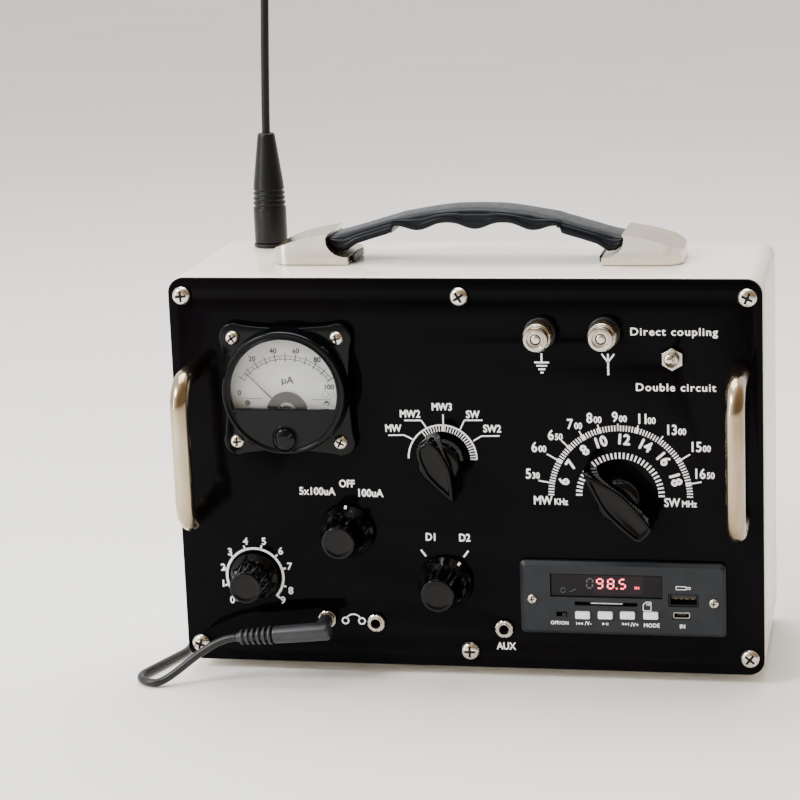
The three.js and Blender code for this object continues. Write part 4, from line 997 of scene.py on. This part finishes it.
# --------------------------------------------------------------- pointer knobs
def pointer(name, k, body):
    """Round foot with a long tapering bar; the front face has a raised rim round a shallow recess."""
    (kx, kz), tip, tail, w, hub, h, ang = k
    hw, hh = w / 2, hub * 0.62
    up = [(tip, 0.35), (tip * 0.62, 3.2), (tip * 0.25, 5.4), (0, hh - 0.15), (-tail * 0.5, hh - 0.45), (-tail + 2.4, hw - 0.15),
          (-tail + 0.6, hw - 1.8), (-tail + 0.1, hw - 3.4)]
    line = smooth_line(up, 4) + [(-tail + 0.05, 0)]
    outline = line + [(a, -b) for a, b in line[-2::-1]]
    n = len(outline)

    def inset(pts, d):
        out = []
        m = len(pts)
        for i in range(m):
            p0, p1, p2 = Vector(pts[i - 1]), Vector(pts[i]), Vector(pts[(i + 1) % m])
            t = (p2 - p0)
            t = t.normalized() if t.length > 1e-6 else Vector((0, 1))
            nrm = Vector((-t.y, t.x))
            q = p1 + nrm * d
            out.append((q.x, q.y))
        return out

    # outline runs clockwise or anticlockwise: choose the sign that shrinks it
    test = inset(outline, 0.5)
    area = lambda P: abs(sum(P[i - 1][0] * P[i][1] - P[i][0] * P[i - 1][1] for i in range(len(P)))) / 2
    sgn = 1 if area(test) < area(outline) else -1

    def ring(d, y, squeeze=1.0):
        pts = []
        for (a, b), (ia, ib) in zip(outline, inset(outline, sgn * d)):
            # near the sharp tip the inset collapses to the middle line
            if b * ib < 0:
                ib = 0.0
            ia = min(ia, tip - d * 1.6)
            pts.append((ia, ib * squeeze))
        return [(a, y, b) for a, b in pts]

    rings = [ring(0.0, -2.25), ring(0.0, -3.2), ring(0.15, -h * 0.6), ring(0.45, -h + 1.1), ring(0.62, -h + 0.45), ring(0.95, -h + 0.10),
             ring(1.35, -h), ring(1.8, -h + 0.12), ring(2.05, -h + 0.55), ring(2.3, -h + 1.0), ring(2.7, -h + 1.1)]
    bar = loft(rings)
    bar = turned(bar, 0, 0, ang)
    g = G().add(slid(bar, kx, 0, kz))
    g.add(lathe(soften([(0, -1.25), (7.0, -1.25), (hub - 0.3, -1.25, .2), (hub, -1.7, .3), (hub, -4.0), (hub - 0.35, -6.5), (hub - 1.0, -9.6, .6),
                        (hub - 1.9, -11.0, .9), (hub - 4.0, -11.3), (0, -11.3)], 4), 72, (kx, 0, kz)))
    g.add(lathe([(0, -6), (3.0, -6), (3.0, 6.0), (0, 6.0)], 24, (kx, 0, kz)))
    return piece(name, g, body, "bakelite", sharp=36, replaces=[body_node[body]])


body_node = {"tuning_drive": "tuning_knob", "band_dial": "band_knob"}
pointer("tuning_pointer_knob", ((68.1, 80.4), 20.55, 18.95, 10.4, 10.25, 18.45, 134), "tuning_drive")
pointer("band_pointer_knob", ((-9.6, 95.7), 16.95, 12.75, 9.4, 10.15, 17.45, -64), "band_dial")


# ---------------------------------------------------------------- fluted knobs
def fluted(name, node, body, x, z, skirt, cap, h, line_deg, line=True):
    def ruff(r, a, t):
        if -h + 0.9 < a < -6.0:
            q = 0.5 + 0.5 * cos(12 * t)
            return r * (1 - 0.085 * (1 - q) ** 1.3)
        return r
    prof = [(0, -h + 0.35), (cap * 0.55, -h + 0.3), (cap * 0.74, -h + 0.32), (cap * 0.8, -h + 0.05), (cap * 0.88, -h), (cap * 0.955, -h + 0.35),
            (cap, -h + 0.95), (cap + 0.15, -h + 3.0), (cap + 0.5, -h * 0.62), (cap + 0.85, -8.2), (cap + 1.15, -6.6), (cap + 1.9, -5.4),
            (cap + 2.9, -4.4), (skirt - 1.3, -3.3), (skirt - 0.4, -2.6), (skirt - 0.02, -1.9), (skirt - 0.15, -1.3), (7.2, -1.25), (7.2, -4.2),
            (3.0, -4.2), (3.0, 7.9), (0, 7.9)]
    g = G().add(lathe(prof, 144, (x, 0, z), "Y", ruff))
    o = piece(name, g, body, "bakelite", sharp=42, replaces=[node])
    if line:
        a = rad(line_deg)
        ca, sa = cos(a), sin(a)
        v, f = [], []
        stations = [(cap + 2.4, -4.85), (skirt - 2.2, -3.98), (skirt - 1.3, -3.34), (skirt - 0.5, -2.72), (skirt - 0.18, -2.25)]
        for r, y in stations:
            for s_, dy in ((-0.55, -0.06), (0.55, -0.06), (0.55, 0.3), (-0.55, 0.3)):
                v.append((x + r * ca - s_ * sa, y + dy, z + r * sa + s_ * ca))
        for i in range(len(stations) - 1):
            for k in range(4):
                f.append([4 * i + k, 4 * i + (k + 1) % 4, 4 * i + 4 + (k + 1) % 4, 4 * i + 4 + k])
        n = 4 * (len(stations) - 1)
        f += [[0, 1, 2, 3], [n + 3, n + 2, n + 1, n]]
        piece(name + "_line", (v, f), body, "silk")
    return o


fluted("range_fluted_knob", "range_knob", "range_dial", -53.5, 62.2, 12.2, 7.5, 20.0, 90)
fluted("detector_fluted_knob", "detector_knob", "detector_dial", -10.2, 39.4, 12.3, 7.6, 20.0, 54)
fluted("volume_fluted_knob", "volume_knob", "volume_dial", -97.0, 39.9, 11.0, 7.4, 17.5, 232)

# control bodies: node, position, bushing, can radius and can depth for each control; the loop draws nothing
for node, (x, z), bush, can_r, can_d in (("band_switch", (-9.6, 95.7), 4.5, 13, 30), ("range_switch", (-53.5, 62.2), 4.5, 12, 22),
                                         ("detector_switch", (-10.2, 39.4), 4.5, 12, 20), ("volume_pot", (-97, 39.9), 3.7, 8.5, 13)):
    pass

# -------------------------------------------------------------- binding posts
for nm, (x, z), key in (("ground", (34.9, 152.4), "ground_cap"), ("antenna", (62.7, 152.8), "antenna_cap")):
    g = G().add(lathe(soften([(0, -12), (1.5, -12, .2), (1.9, -11.5, .2), (1.9, -3.4), (6.2, -3.4, .2), (7.0, -3.1, .4), (7.2, -0.35), (3.0, -0.35),
                              (3.0, 2.35), (6.55, 2.35), (6.55, 5.15), (2.0, 5.15), (2.0, 15), (0, 15)], 3), 48, (x, 0, z)))
    piece(f"{nm}_post_collar", g, "root", "satin", sharp=34, replaces=[f"{nm}_post_base"])
    prof = [(2.35, -3.75), (5.2, -3.75), (5.4, -3.95), (5.4, -4.9), (6.0, -5.3), (6.2, -5.6), (6.22, -11.1), (6.0, -11.5), (5.5, -11.9), (5.3, -12.1),
            (5.28, -14.5), (5.1, -14.85), (4.7, -14.98), (3.9, -14.98), (3.6, -14.75), (3.35, -14.2), (2.35, -14.1), (2.35, -3.75)]
    g = G().add(lathe(prof, 96, (x, 0, z), "Y", lambda r, a, t: r * (1 - (0.035 if (-11.0 < a < -5.5 and r > 6.0 and math.floor(t * 40 / pi) % 2) else 0))))
    piece(f"{nm}_post_thumbnut", g, key, "nickel", sharp=34, replaces=[f"{nm}_post_cap"])
    g = G().add(lathe(soften([(0, -14.6), (1.6, -14.5, .5), (2.1, -13.9, .3), (2.2, -12.6), (0, -12.6)], 4), 32, (x, 0, z)))
    piece(f"{nm}_post_tip", g, key, "screw")
    g = G().add(lathe([(6.23, -7.4), (6.25, -7.6), (6.25, -8.8), (6.23, -9.0), (5.9, -9.0), (5.9, -7.4), (6.23, -7.4)], 48, (x, 0, z)))
    piece(f"{nm}_post_band", g, key, "brass")

# ------------------------------------------------------------- toggle switch
tx_, tz_ = 91.6, 141.6
g = G().add(prism(arc(tx_, tz_, 4.98, 30, 330, 5), -2.6, -0.32))
g.add(block(tx_ - 6.4, tx_ + 6.4, 2.35, 12.9, tz_ - 4.1, tz_ + 4.1))
prof = [(2.6, 3.4), (2.6, -5.6), (2.75, -6.15), (2.95, -6.1)]
for i in range(6):
    a = -5.9 + 0.55 * i
    prof += [(3.08, a + 0.1), (2.88, a + 0.32)]
prof += [(3.05, -2.4), (3.05, 4.0), (2.6, 4.0), (2.6, 3.4)]
g.add(lathe(prof, 40, (tx_, 0, tz_)))
piece("toggle_body", g, "root", "nickel", sharp=30, replaces=["toggle_switch"], bevel=0.18)
lev = lathe(soften([(0, 2.0), (1.2, 1.6, .5), (1.95, 0, .8), (1.28, -1.6, .5), (1.15, -4.0), (1.25, -8), (1.6, -13), (1.95, -16.4, .8), (2.05, -17.3, .6), (1.4, -18.3, .6),
                    (0, -18.58)], 4), 32)
a = rad(-12)
v = [(x, y * cos(a) - z * sin(a), y * sin(a) + z * cos(a)) for x, y, z in lev[0]]
piece("toggle_bat", ([(x + tx_, y - 1.0, z + tz_) for x, y, z in v], lev[1]), "toggle", "chrome", sharp=40, replaces=["toggle_lever"])

# ---------------------------------------------------------------------- jacks
for nm, (x, z) in (("phones_jack_left", (-64.4, 21.0)), ("phones_jack_right", (-42.2, 19.8)), ("aux_jack", (15.6, 18.7))):
    prof = [(2.1, 13.8), (2.1, -2.1), (2.3, -2.55), (2.7, -2.55), (2.88, -2.3), (2.88, -1.9), (3.6, -1.88), (4.0, -1.6), (4.08, -0.35), (2.9, -0.35),
            (2.9, 2.4), (4.7, 2.4), (4.7, 14.9), (2.1, 14.9), (2.1, 13.8)]

    def slots_(r, a, t):
        return r * (0.93 if (r > 3.5 and a < -0.8 and abs(((t * 2 / pi) + 0.5) % 1 - 0.5) < 0.10) else 1.0)
    piece(nm + "_nut", lathe(prof, 80, (x, 0, z), "Y", slots_), "root", "nickel", sharp=28, replaces=[nm])
    piece(nm + "_throat", lathe([(0, 12.5), (2.08, 12.5), (2.08, -0.6), (1.9, -0.6), (1.9, 12.0), (0, 12.0)], 32, (x, 0, z)), "root", "socket")

# --------------------------------------------------------------- player module
mx_, mz_, mw, mh = 68.5, 34.5, 90.0, 33.0
B_ = [(51.05, 27.1), (61.0, 27.3), (70.75, 27.5), (80.9, 27.7)]
rect = lambda x0, x1, z0, z1: [(x0, z0), (x1, z0), (x1, z1), (x0, z1)]
outer = rounded(mx_ - mw / 2 + 1.5, mx_ + mw / 2 - 1.5, mz_ - mh / 2 + 1.5, mz_ + mh / 2 - 1.5, 1.6, 5)
openings = [rect(36.9, 86.0, 35.1, 45.7), rect(47.6, 75.1, 31.3, 33.2), rect(39.4, 44.0, 26.1, 28.3), rect(88.6, 101.7, 31.8, 37.8), rect(90.3, 98.1, 26.1, 29.4)]
openings += [rounded(bx - 3.5, bx + 3.5, bz - 1.9, bz + 1.9, 0.5, 3) for bx, bz in B_]
g = G().add(plate([outer] + openings, -3.8, -0.35, 0.0, 1))
# sloped border round the plate
ro = rounded(mx_ - mw / 2, mx_ + mw / 2, mz_ - mh / 2, mz_ + mh / 2, 2.2, 5)
ri = outer
n = len(ro)
v = [(x, -0.35, z) for x, z in ro] + [(x, -2.3, z) for x, z in ro] + [(x, -3.8, z) for x, z in ri] + [(x, -0.35, z) for x, z in ri]
f = []
for k in range(4):
    a, b = k * n, ((k + 1) % 4) * n
    f += [[a + i, a + (i + 1) % n, b + (i + 1) % n, b + i] for i in range(n)]
g.add((v, f))
piece("module_face", g, "root", "module", sharp=25, replaces=["module_faceplate"])
piece("module_display_filter", plate([rounded(37.15, 85.75, 35.35, 45.45, 0.4, 3)], -3.1, -2.0, 0.1, 1), "root", "display",
      replaces=["module_display"])
glow = plate([rounded(55.9, 77.5, 36.4, 45.0, 0.6, 3)], -3.13, -3.11, 0.0, 1)
piece("module_display_glow", glow, "root", "led_glow")


def seven(x, z, w, h, lit, lean=0.06, t=0.95):
    """Seven-segment figure from its lower left corner."""
    def P(u, v):
        return (x + u + lean * v, z + v)
    segs = {"a": ((0.5, h), (w - 0.5, h)), "d": ((0.5, 0), (w - 0.5, 0)), "g": ((0.5, h / 2), (w - 0.5, h / 2)),
            "f": ((0, h / 2 + 0.3), (0, h - 0.3)), "b": ((w, h / 2 + 0.3), (w, h - 0.3)),
            "e": ((0, 0.3), (0, h / 2 - 0.3)), "c": ((w, 0.3), (w, h / 2 - 0.3))}
    g_ = G()
    for s_ in lit:
        p, q = segs[s_]
        g_.add(stroke(P(*p), P(*q), t, -3.19, 0.03))
    return g_


DIG = {"0": "abcdef", "1": "bc", "2": "abged", "3": "abgcd", "4": "fgbc", "5": "afgcd", "6": "afgedc", "7": "abc", "8": "abcdefg", "9": "abcdfg"}
g_on, g_dim, g_hot = G(), G(), G()
for (x0, s_) in ((57.3, "9"), (62.1, "8"), (67.2, "5")):
    q = seven(x0, 39.3, 2.5, 4.2, DIG[s_], t=0.7)
    g_on.add((q.v, q.f))
    q = seven(x0, 39.3, 2.5, 4.2, DIG[s_], t=0.26)
    g_hot.add(([(a, b - 0.04, c) for a, b, c in q.v], q.f))
for (cx, cz) in ((66.1, 39.3),):
    g_on.add(plate([[(cx + 0.42 * cos(2 * pi * i / 12), cz + 0.42 * sin(2 * pi * i / 12)) for i in range(12)]], -3.22, -3.16))
g_on.add(text("FM", 74.9, 39.7, 1.2, y=-3.19, thick=0.03, weight=0.05))
q = seven(52.9, 39.3, 2.5, 4.2, DIG["0"], t=0.6)
g_dim.add((q.v, q.f))
g_dim.add(band(42.5, 38.0, 0.9, 1.15, 20, 340, 16, -3.19, 0.02))
g_dim.add(stroke((45.4, 37.3), (48.2, 38.7), 0.3, -3.19, 0.02))
piece("module_digits_lit", g_on, "root", "led_on")
piece("module_digits_core", g_hot, "root", "led_hot")
piece("module_digits_unlit", g_dim, "root", "led_dim")
for i, (bx, bz) in enumerate(B_):
    g = G().add(plate([rounded(bx - 3.22, bx + 3.22, bz - 1.62, bz + 1.62, 0.5, 4)], -4.98, -0.25, 0.3, 3))
    piece(f"module_button_cap_{i + 1}", g, f"button_{i + 1}", "button", sharp=40, replaces=[f"module_button_{i + 1}"])
g = G().add(plate([rect(42.02, 43.78, 26.27, 28.13)], -4.75, 0.15, 0.15, 1))
for i in range(3):
    g.add(block(42.2 + 0.5 * i, 42.4 + 0.5 * i, -4.79, -4.7, 26.4, 28.0))
piece("module_slider_cap", g, "power_slider", "satin", replaces=["module_slide_switch"])
# board with its socket shells and contacts
g = G().add(block(27.1, 109.9, 3.4, 4.95, 21.6, 47.4))
piece("module_circuit_board", g, "root", "board", replaces=["module_board"])
g = G()
g.add(plate([rect(88.9, 101.4, 32.1, 37.5), rect(89.35, 100.95, 32.55, 37.05)], -3.15, 3.3))
piece("module_host_shell", g, "root", "satin")
g = G().add(plate([rounded(90.55, 97.85, 26.35, 29.15, 0.6, 3), rounded(90.95, 97.45, 26.75, 28.75, 0.4, 3)], -3.15, 3.3))
piece("module_supply_shell", g, "root", "steel")
g = G().add(block(89.36, 100.94, 2.9, 3.3, 32.56, 37.04))
g.add(block(89.8, 100.5, -1.6, 2.9, 34.9, 36.4))
g.add(block(90.96, 97.44, 2.9, 3.3, 26.76, 28.74))
g.add(block(92.2, 96.2, -1.8, 2.9, 27.4, 28.0))
piece("module_socket_tongues", g, "root", "socket")
g = G()
for i in range(4):
    g.add(block(91.1 + 2.4 * i, 92.3 + 2.4 * i, -1.5, 2.0, 34.78, 34.9))
piece("module_socket_contacts", g, "root", "brass")
g = G().add(block(48.0, 74.7, -0.2, 3.3, 31.55, 32.95))
piece("module_card_reader", g, "root", "socket")
g = G().add(block(54.5, 68.5, -2.9, -0.3, 31.9, 32.6))
piece("module_card_edge", g, "root", "card", bevel=0.15)

# small print on the module
ym, tm = -3.83, 0.02
g = G()
for s_, x0, z0, h_ in (("OFF/ON", 40.7, 23.2, 1.6), ("/V-", 53.3, 23.3, 1.8), ("/V+", 73.7, 23.2, 1.8), ("MODE", 81.2, 23.1, 1.8), ("IN", 94.6, 23.0, 1.8)):
    g.add(text(s_, x0, z0, h_, y=ym, thick=tm, weight=0.05, xs=0.92, spacing=1.06))


def tri(cx, cz, s_, d=1):
    return prism([(cx - s_ * d, cz - s_), (cx + s_ * d, cz), (cx - s_ * d, cz + s_)], ym - tm, ym + tm)


g.add(stroke((48.2, 22.4), (48.2, 23.8), 0.25, ym, tm)).add(tri(49.1, 23.1, 0.6, -1)).add(tri(50.4, 23.1, 0.6, -1))
g.add(tri(60.2, 23.2, 0.65, 1)).add(stroke((61.4, 22.6), (61.4, 23.8), 0.28, ym, tm)).add(stroke((62.0, 22.6), (62.0, 23.8), 0.28, ym, tm))
g.add(tri(68.9, 23.4, 0.6, 1)).add(tri(70.2, 23.4, 0.6, 1)).add(stroke((71.1, 22.7), (71.1, 24.1), 0.25, ym, tm))
# card symbol beside the slot, with its three contact bars
cardo = [(77.6, 29.8), (81.0, 29.8), (81.0, 33.7), (78.9, 33.7), (77.6, 32.5)]
for i in range(5):
    g.add(stroke(cardo[i], cardo[(i + 1) % 5], 0.28, ym, tm))
for i in range(3):
    g.add(stroke((79.2 + 0.6 * i, 32.1), (79.2 + 0.6 * i, 33.2), 0.25, ym, tm))
# plain outline of a plug over the host socket
for q0, q1 in (((92.0, 39.7), (96.4, 39.7)), ((96.4, 39.7), (96.4, 41.1)), ((96.4, 41.1), (92.0, 41.1)), ((92.0, 41.1), (92.0, 39.7)),
               ((96.4, 40.0), (98.2, 40.0)), ((98.2, 40.0), (98.2, 40.8)), ((98.2, 40.8), (96.4, 40.8))):
    g.add(stroke(q0, q1, 0.27, ym, tm))
piece("module_print", g, "root", "silk")

# -------------------------------------------------------- panel print (white)
g = G()
g.add(text("5x100uA", -66.6, 80.0, 3.4, xs=0.92, weight=0.13))
g.add(text("OFF", -53.0, 83.7, 3.3, xs=0.86, weight=0.13))
g.add(text("100uA", -42.4, 79.6, 3.4, xs=0.92, weight=0.13))
for s_, x0, z0 in (("1", -111.9, 36.2), ("2", -111.6, 43.8), ("3", -108.1, 51.1), ("4", -100.7, 56.2), ("5", -92.2, 56.3), ("6", -84.7, 52),
                   ("7", -80.9, 44.9), ("8", -80.9, 33.6), ("9", -84.7, 29.0), ("0", -108.1, 28.6)):
    g.add(text(s_, x0, z0, 3.2, weight=0.13))
g.add(band(-97, 39.9, 12.45, 13.5, 232, -42, 70))
for a in (232, 198, 166, 138, 108, 76, 44, 16, -18, -42):
    ca, sa = cos(rad(a)), sin(rad(a))
    g.add(stroke((-97 + 12.6 * ca, 39.9 + 12.6 * sa), (-97 + 14.9 * ca, 39.9 + 14.9 * sa), 0.8))
# band selector
g.add(band(-9.6, 95.7, 14.8, 15.5, 180, 0, 60))
for a in [126 - 5.25 * i for i in range(25)]:
    ca, sa = cos(rad(a)), sin(rad(a))
    g.add(stroke((-9.6 + 12.3 * ca, 95.7 + 12.3 * sa), (-9.6 + 15.2 * ca, 95.7 + 15.2 * sa), 0.48))
for s_, x0, z0 in (("MW", -31.1, 109.2), ("MW2", -23.4, 115.8), ("MW3", -9.2, 119.1), ("SW", 4.4, 115.9), ("SW2", 12.7, 109.6)):
    g.add(text(s_, x0, z0, 3.25, xs=0.86, weight=0.13))
for chain in (((-33.5, 106), (-26.4, 106.2), (-22, 104)), ((-26.1, 112.8), (-18.6, 112.9), (-15.6, 108.5)), ((-8.8, 115.7), (-8.9, 108.2)),
              ((8.6, 113.3), (0.6, 113.2), (-2.3, 107.4)), ((15.9, 106.4), (7.9, 106.2), (4.3, 104))):
    for p, q in zip(chain, chain[1:]):
        g.add(stroke(p, q, 0.6))
# tuning dial
for i in range(76):
    a = rad(2.4 * i)
    g.add(stroke((68.1 + 28.9 * cos(a), 80.4 + 28.9 * sin(a)), (68.1 + 31.4 * cos(a), 80.4 + 31.4 * sin(a)), 0.55))
for i in range(33):
    a = rad(5.6 * i + 0.4)
    g.add(stroke((68.1 + 16.6 * cos(a), 80.4 + 16.6 * sin(a)), (68.1 + 19.3 * cos(a), 80.4 + 19.3 * sin(a)), 0.8))
for a, r1 in ((170.1, 36.2), (150.1, 36.6), (136, 35), (121.3, 33.5), (106.4, 32.9), (91, 32.1), (75.4, 32.5), (54.9, 32.8), (32, 35.8), (10.9, 35.8)):
    a = rad(a)
    g.add(stroke((68.1 + 28.9 * cos(a), 80.4 + 28.9 * sin(a)), (68.1 + r1 * cos(a), 80.4 + r1 * sin(a)), 0.6))
for big, small, x0, z0 in (("5", "30", 30, 89.7), ("6", "00", 33, 101.7), ("6", "50", 40.3, 107.2), ("7", "00", 48.8, 112.2), ("8", "00", 57.3, 115),
                           ("9", "00", 68.3, 115.6), ("11", "00", 80.2, 114.9), ("13", "00", 92.9, 110.2), ("15", "00", 103.3, 102.8), ("16", "50", 104.8, 90.9)):
    A = text(big, 0, 0, 4.4, align="L", baseline=0.0, xs=0.86, weight=0.13)
    x1 = box_of(A)[1]
    B = text(small, x1 + 0.5, 0, 2.8, align="L", baseline=0.0, xs=0.86, weight=0.10)
    x2 = box_of(B)[1]
    for q in (A, B):
        g.add(slid(q, x0 - x2 / 2, 0, z0 - 2.2))
for s_, a in (("6", 166), ("7", 147), ("8", 127), ("10", 108), ("12", 85), ("14", 63), ("16", 41), ("18", 17)):
    x0, z0 = 68.1 + 25.3 * cos(rad(a)), 80.4 + 25.3 * sin(rad(a))
    g.add(text(s_, x0, z0, 4.5, rot=a - 90, xs=0.95, weight=0.26))
for big, small, x0 in (("MW", "KHz", 37.7), ("SW", "MHz", 94.1)):
    A = text(big, 0, 0, 3.8, align="L", baseline=0.0, xs=0.84, weight=0.13)
    x1 = box_of(A)[1]
    B = text(small, x1 + 0.8, 0, 2.8, align="L", baseline=0.0, xs=0.84, weight=0.10)
    x2 = box_of(B)[1]
    for q in (A, B):
        g.add(slid(q, x0 - x2 / 2, 0, 77.8 - 1.9))
# detector, coupling, sockets
g.add(text("D1", -16.3, 60.0, 3.4, xs=0.86, weight=0.13)).add(text("D2", -1.0, 60.0, 3.4, xs=0.86, weight=0.13))
for a in (126, 54):
    ca, sa = cos(rad(a)), sin(rad(a))
    g.add(stroke((-10.2 + 14.4 * ca, 39.4 + 14.4 * sa), (-10.2 + 18.0 * ca, 39.4 + 18.0 * sa), 0.8))
for s_, x0, x1, z0 in (("Direct coupling", 73.7, 111.0, 152.6), ("Double circuit", 75.7, 110.0, 128.8)):
    q = text(s_, 0, z0, 3.3, align="L", weight=0.095, spacing=1.15)
    a, b = box_of(q)[0:2]
    k_ = (x1 - x0) / (b - a)
    g.add(([(x0 + (x - a) * k_, y, z) for x, y, z in q[0]], q[1]))
g.add(stroke((35.2, 143.3), (35.2, 139.6), 0.7))
for i, w_2 in enumerate((3.2, 2.3, 1.5, 0.7)):
    zz = 139.3 - 1.5 * i
    g.add(stroke((35.2 - w_2, zz), (35.2 + w_2, zz), 0.7))
g.add(stroke((63.9, 134.0), (63.9, 143.3), 0.75)).add(stroke((63.9, 139.6), (61.2, 143.3), 0.7)).add(stroke((63.9, 139.6), (66.6, 143.3), 0.7))
for cx in (-56.4, -48.9):
    g.add(band(cx, 20.2, 1.1, 1.75, 0, 360, 24))
g.add(band(-52.65, 19.6, 3.35, 3.95, 24, 156, 24))
g.add(text("AUX", 16.1, 10.4, 3.3, xs=0.86, weight=0.13))
piece("panel_print", g, "root", "silk")

# ------------------------------------------------------------- room and light
floor_z = 0.0
me = bpy.data.meshes.new("floor")
me.from_pydata([(-6, -6, floor_z - 0.0004), (6, -6, floor_z - 0.0004), (6, 6, floor_z - 0.0004), (-6, 6, floor_z - 0.0004)], [], [[0, 1, 2, 3]])
me.materials.append(material("floor_pale", srgb(236, 235, 232), srgb(240, 239, 237), rough=0.75, rough2=0.85, scale=3, spec=0.2))
floor = bpy.data.objects.new("floor", me)
scene.collection.objects.link(floor)

# an even room: neutral overhead, behind and to the left, a warm and darker wall at the front right
world = bpy.data.worlds.new("room")
scene.world = world
world.use_nodes = True
wn = world.node_tree
bg = wn.nodes["Background"]
tcw = wn.nodes.new("ShaderNodeTexCoord")
dot = wn.nodes.new("ShaderNodeVectorMath")
dot.operation = "DOT_PRODUCT"
dot.inputs[1].default_value = (0.78, -0.62, -0.08)
wn.links.new(tcw.outputs["Generated"], dot.inputs[0])
rw = wn.nodes.new("ShaderNodeValToRGB")
for pos, col in ((0.0, (1.0, 1.0, 1.0)), (0.52, (0.96, 0.945, 0.92)), (0.66, (0.46, 0.355, 0.245)), (0.80, (0.27, 0.195, 0.125)), (1.0, (0.22, 0.16, 0.10))):
    e = rw.color_ramp.elements[0] if pos == 0.0 else (rw.color_ramp.elements[1] if pos == 1.0 else rw.color_ramp.elements.new(pos))
    if pos in (0.0, 1.0):
        e = [q for q in rw.color_ramp.elements if abs(q.position - pos) < 1e-6][0]
    e.position, e.color = pos, (*col, 1)
mr = wn.nodes.new("ShaderNodeMapRange")
mr.inputs["From Min"].default_value, mr.inputs["From Max"].default_value = -1.0, 1.0
wn.links.new(dot.outputs["Value"], mr.inputs["Value"])
wn.links.new(mr.outputs[0], rw.inputs["Fac"])
wn.links.new(rw.outputs["Color"], bg.inputs[0])
bg.inputs[1].default_value = 1.6


def softbox(name, loc, aim, size, power, colour=(1, 1, 1), size_y=None):
    ld = bpy.data.lights.new(name, "AREA")
    ld.energy, ld.color = power, colour
    ld.size = size
    if size_y:
        ld.shape, ld.size_y = "RECTANGLE", size_y
    o = bpy.data.objects.new(name, ld)
    scene.collection.objects.link(o)
    o.location = loc
    o.rotation_euler = (Vector(aim) - Vector(loc)).to_track_quat("-Z", "Y").to_euler()
    return o


softbox("key", (-0.95, -0.75, 1.0), (0, 0, 0.1), 0.5, 24, (1, 0.985, 0.96))
softbox("top", (-0.15, 0.3, 1.3), (0, 0, 0.1), 0.9, 22, (1, 0.99, 0.97))
softbox("left_strip", (-1.15, -0.75, 0.22), (0, 0, 0.08), 0.16, 5, (1, 1, 1), 0.7)
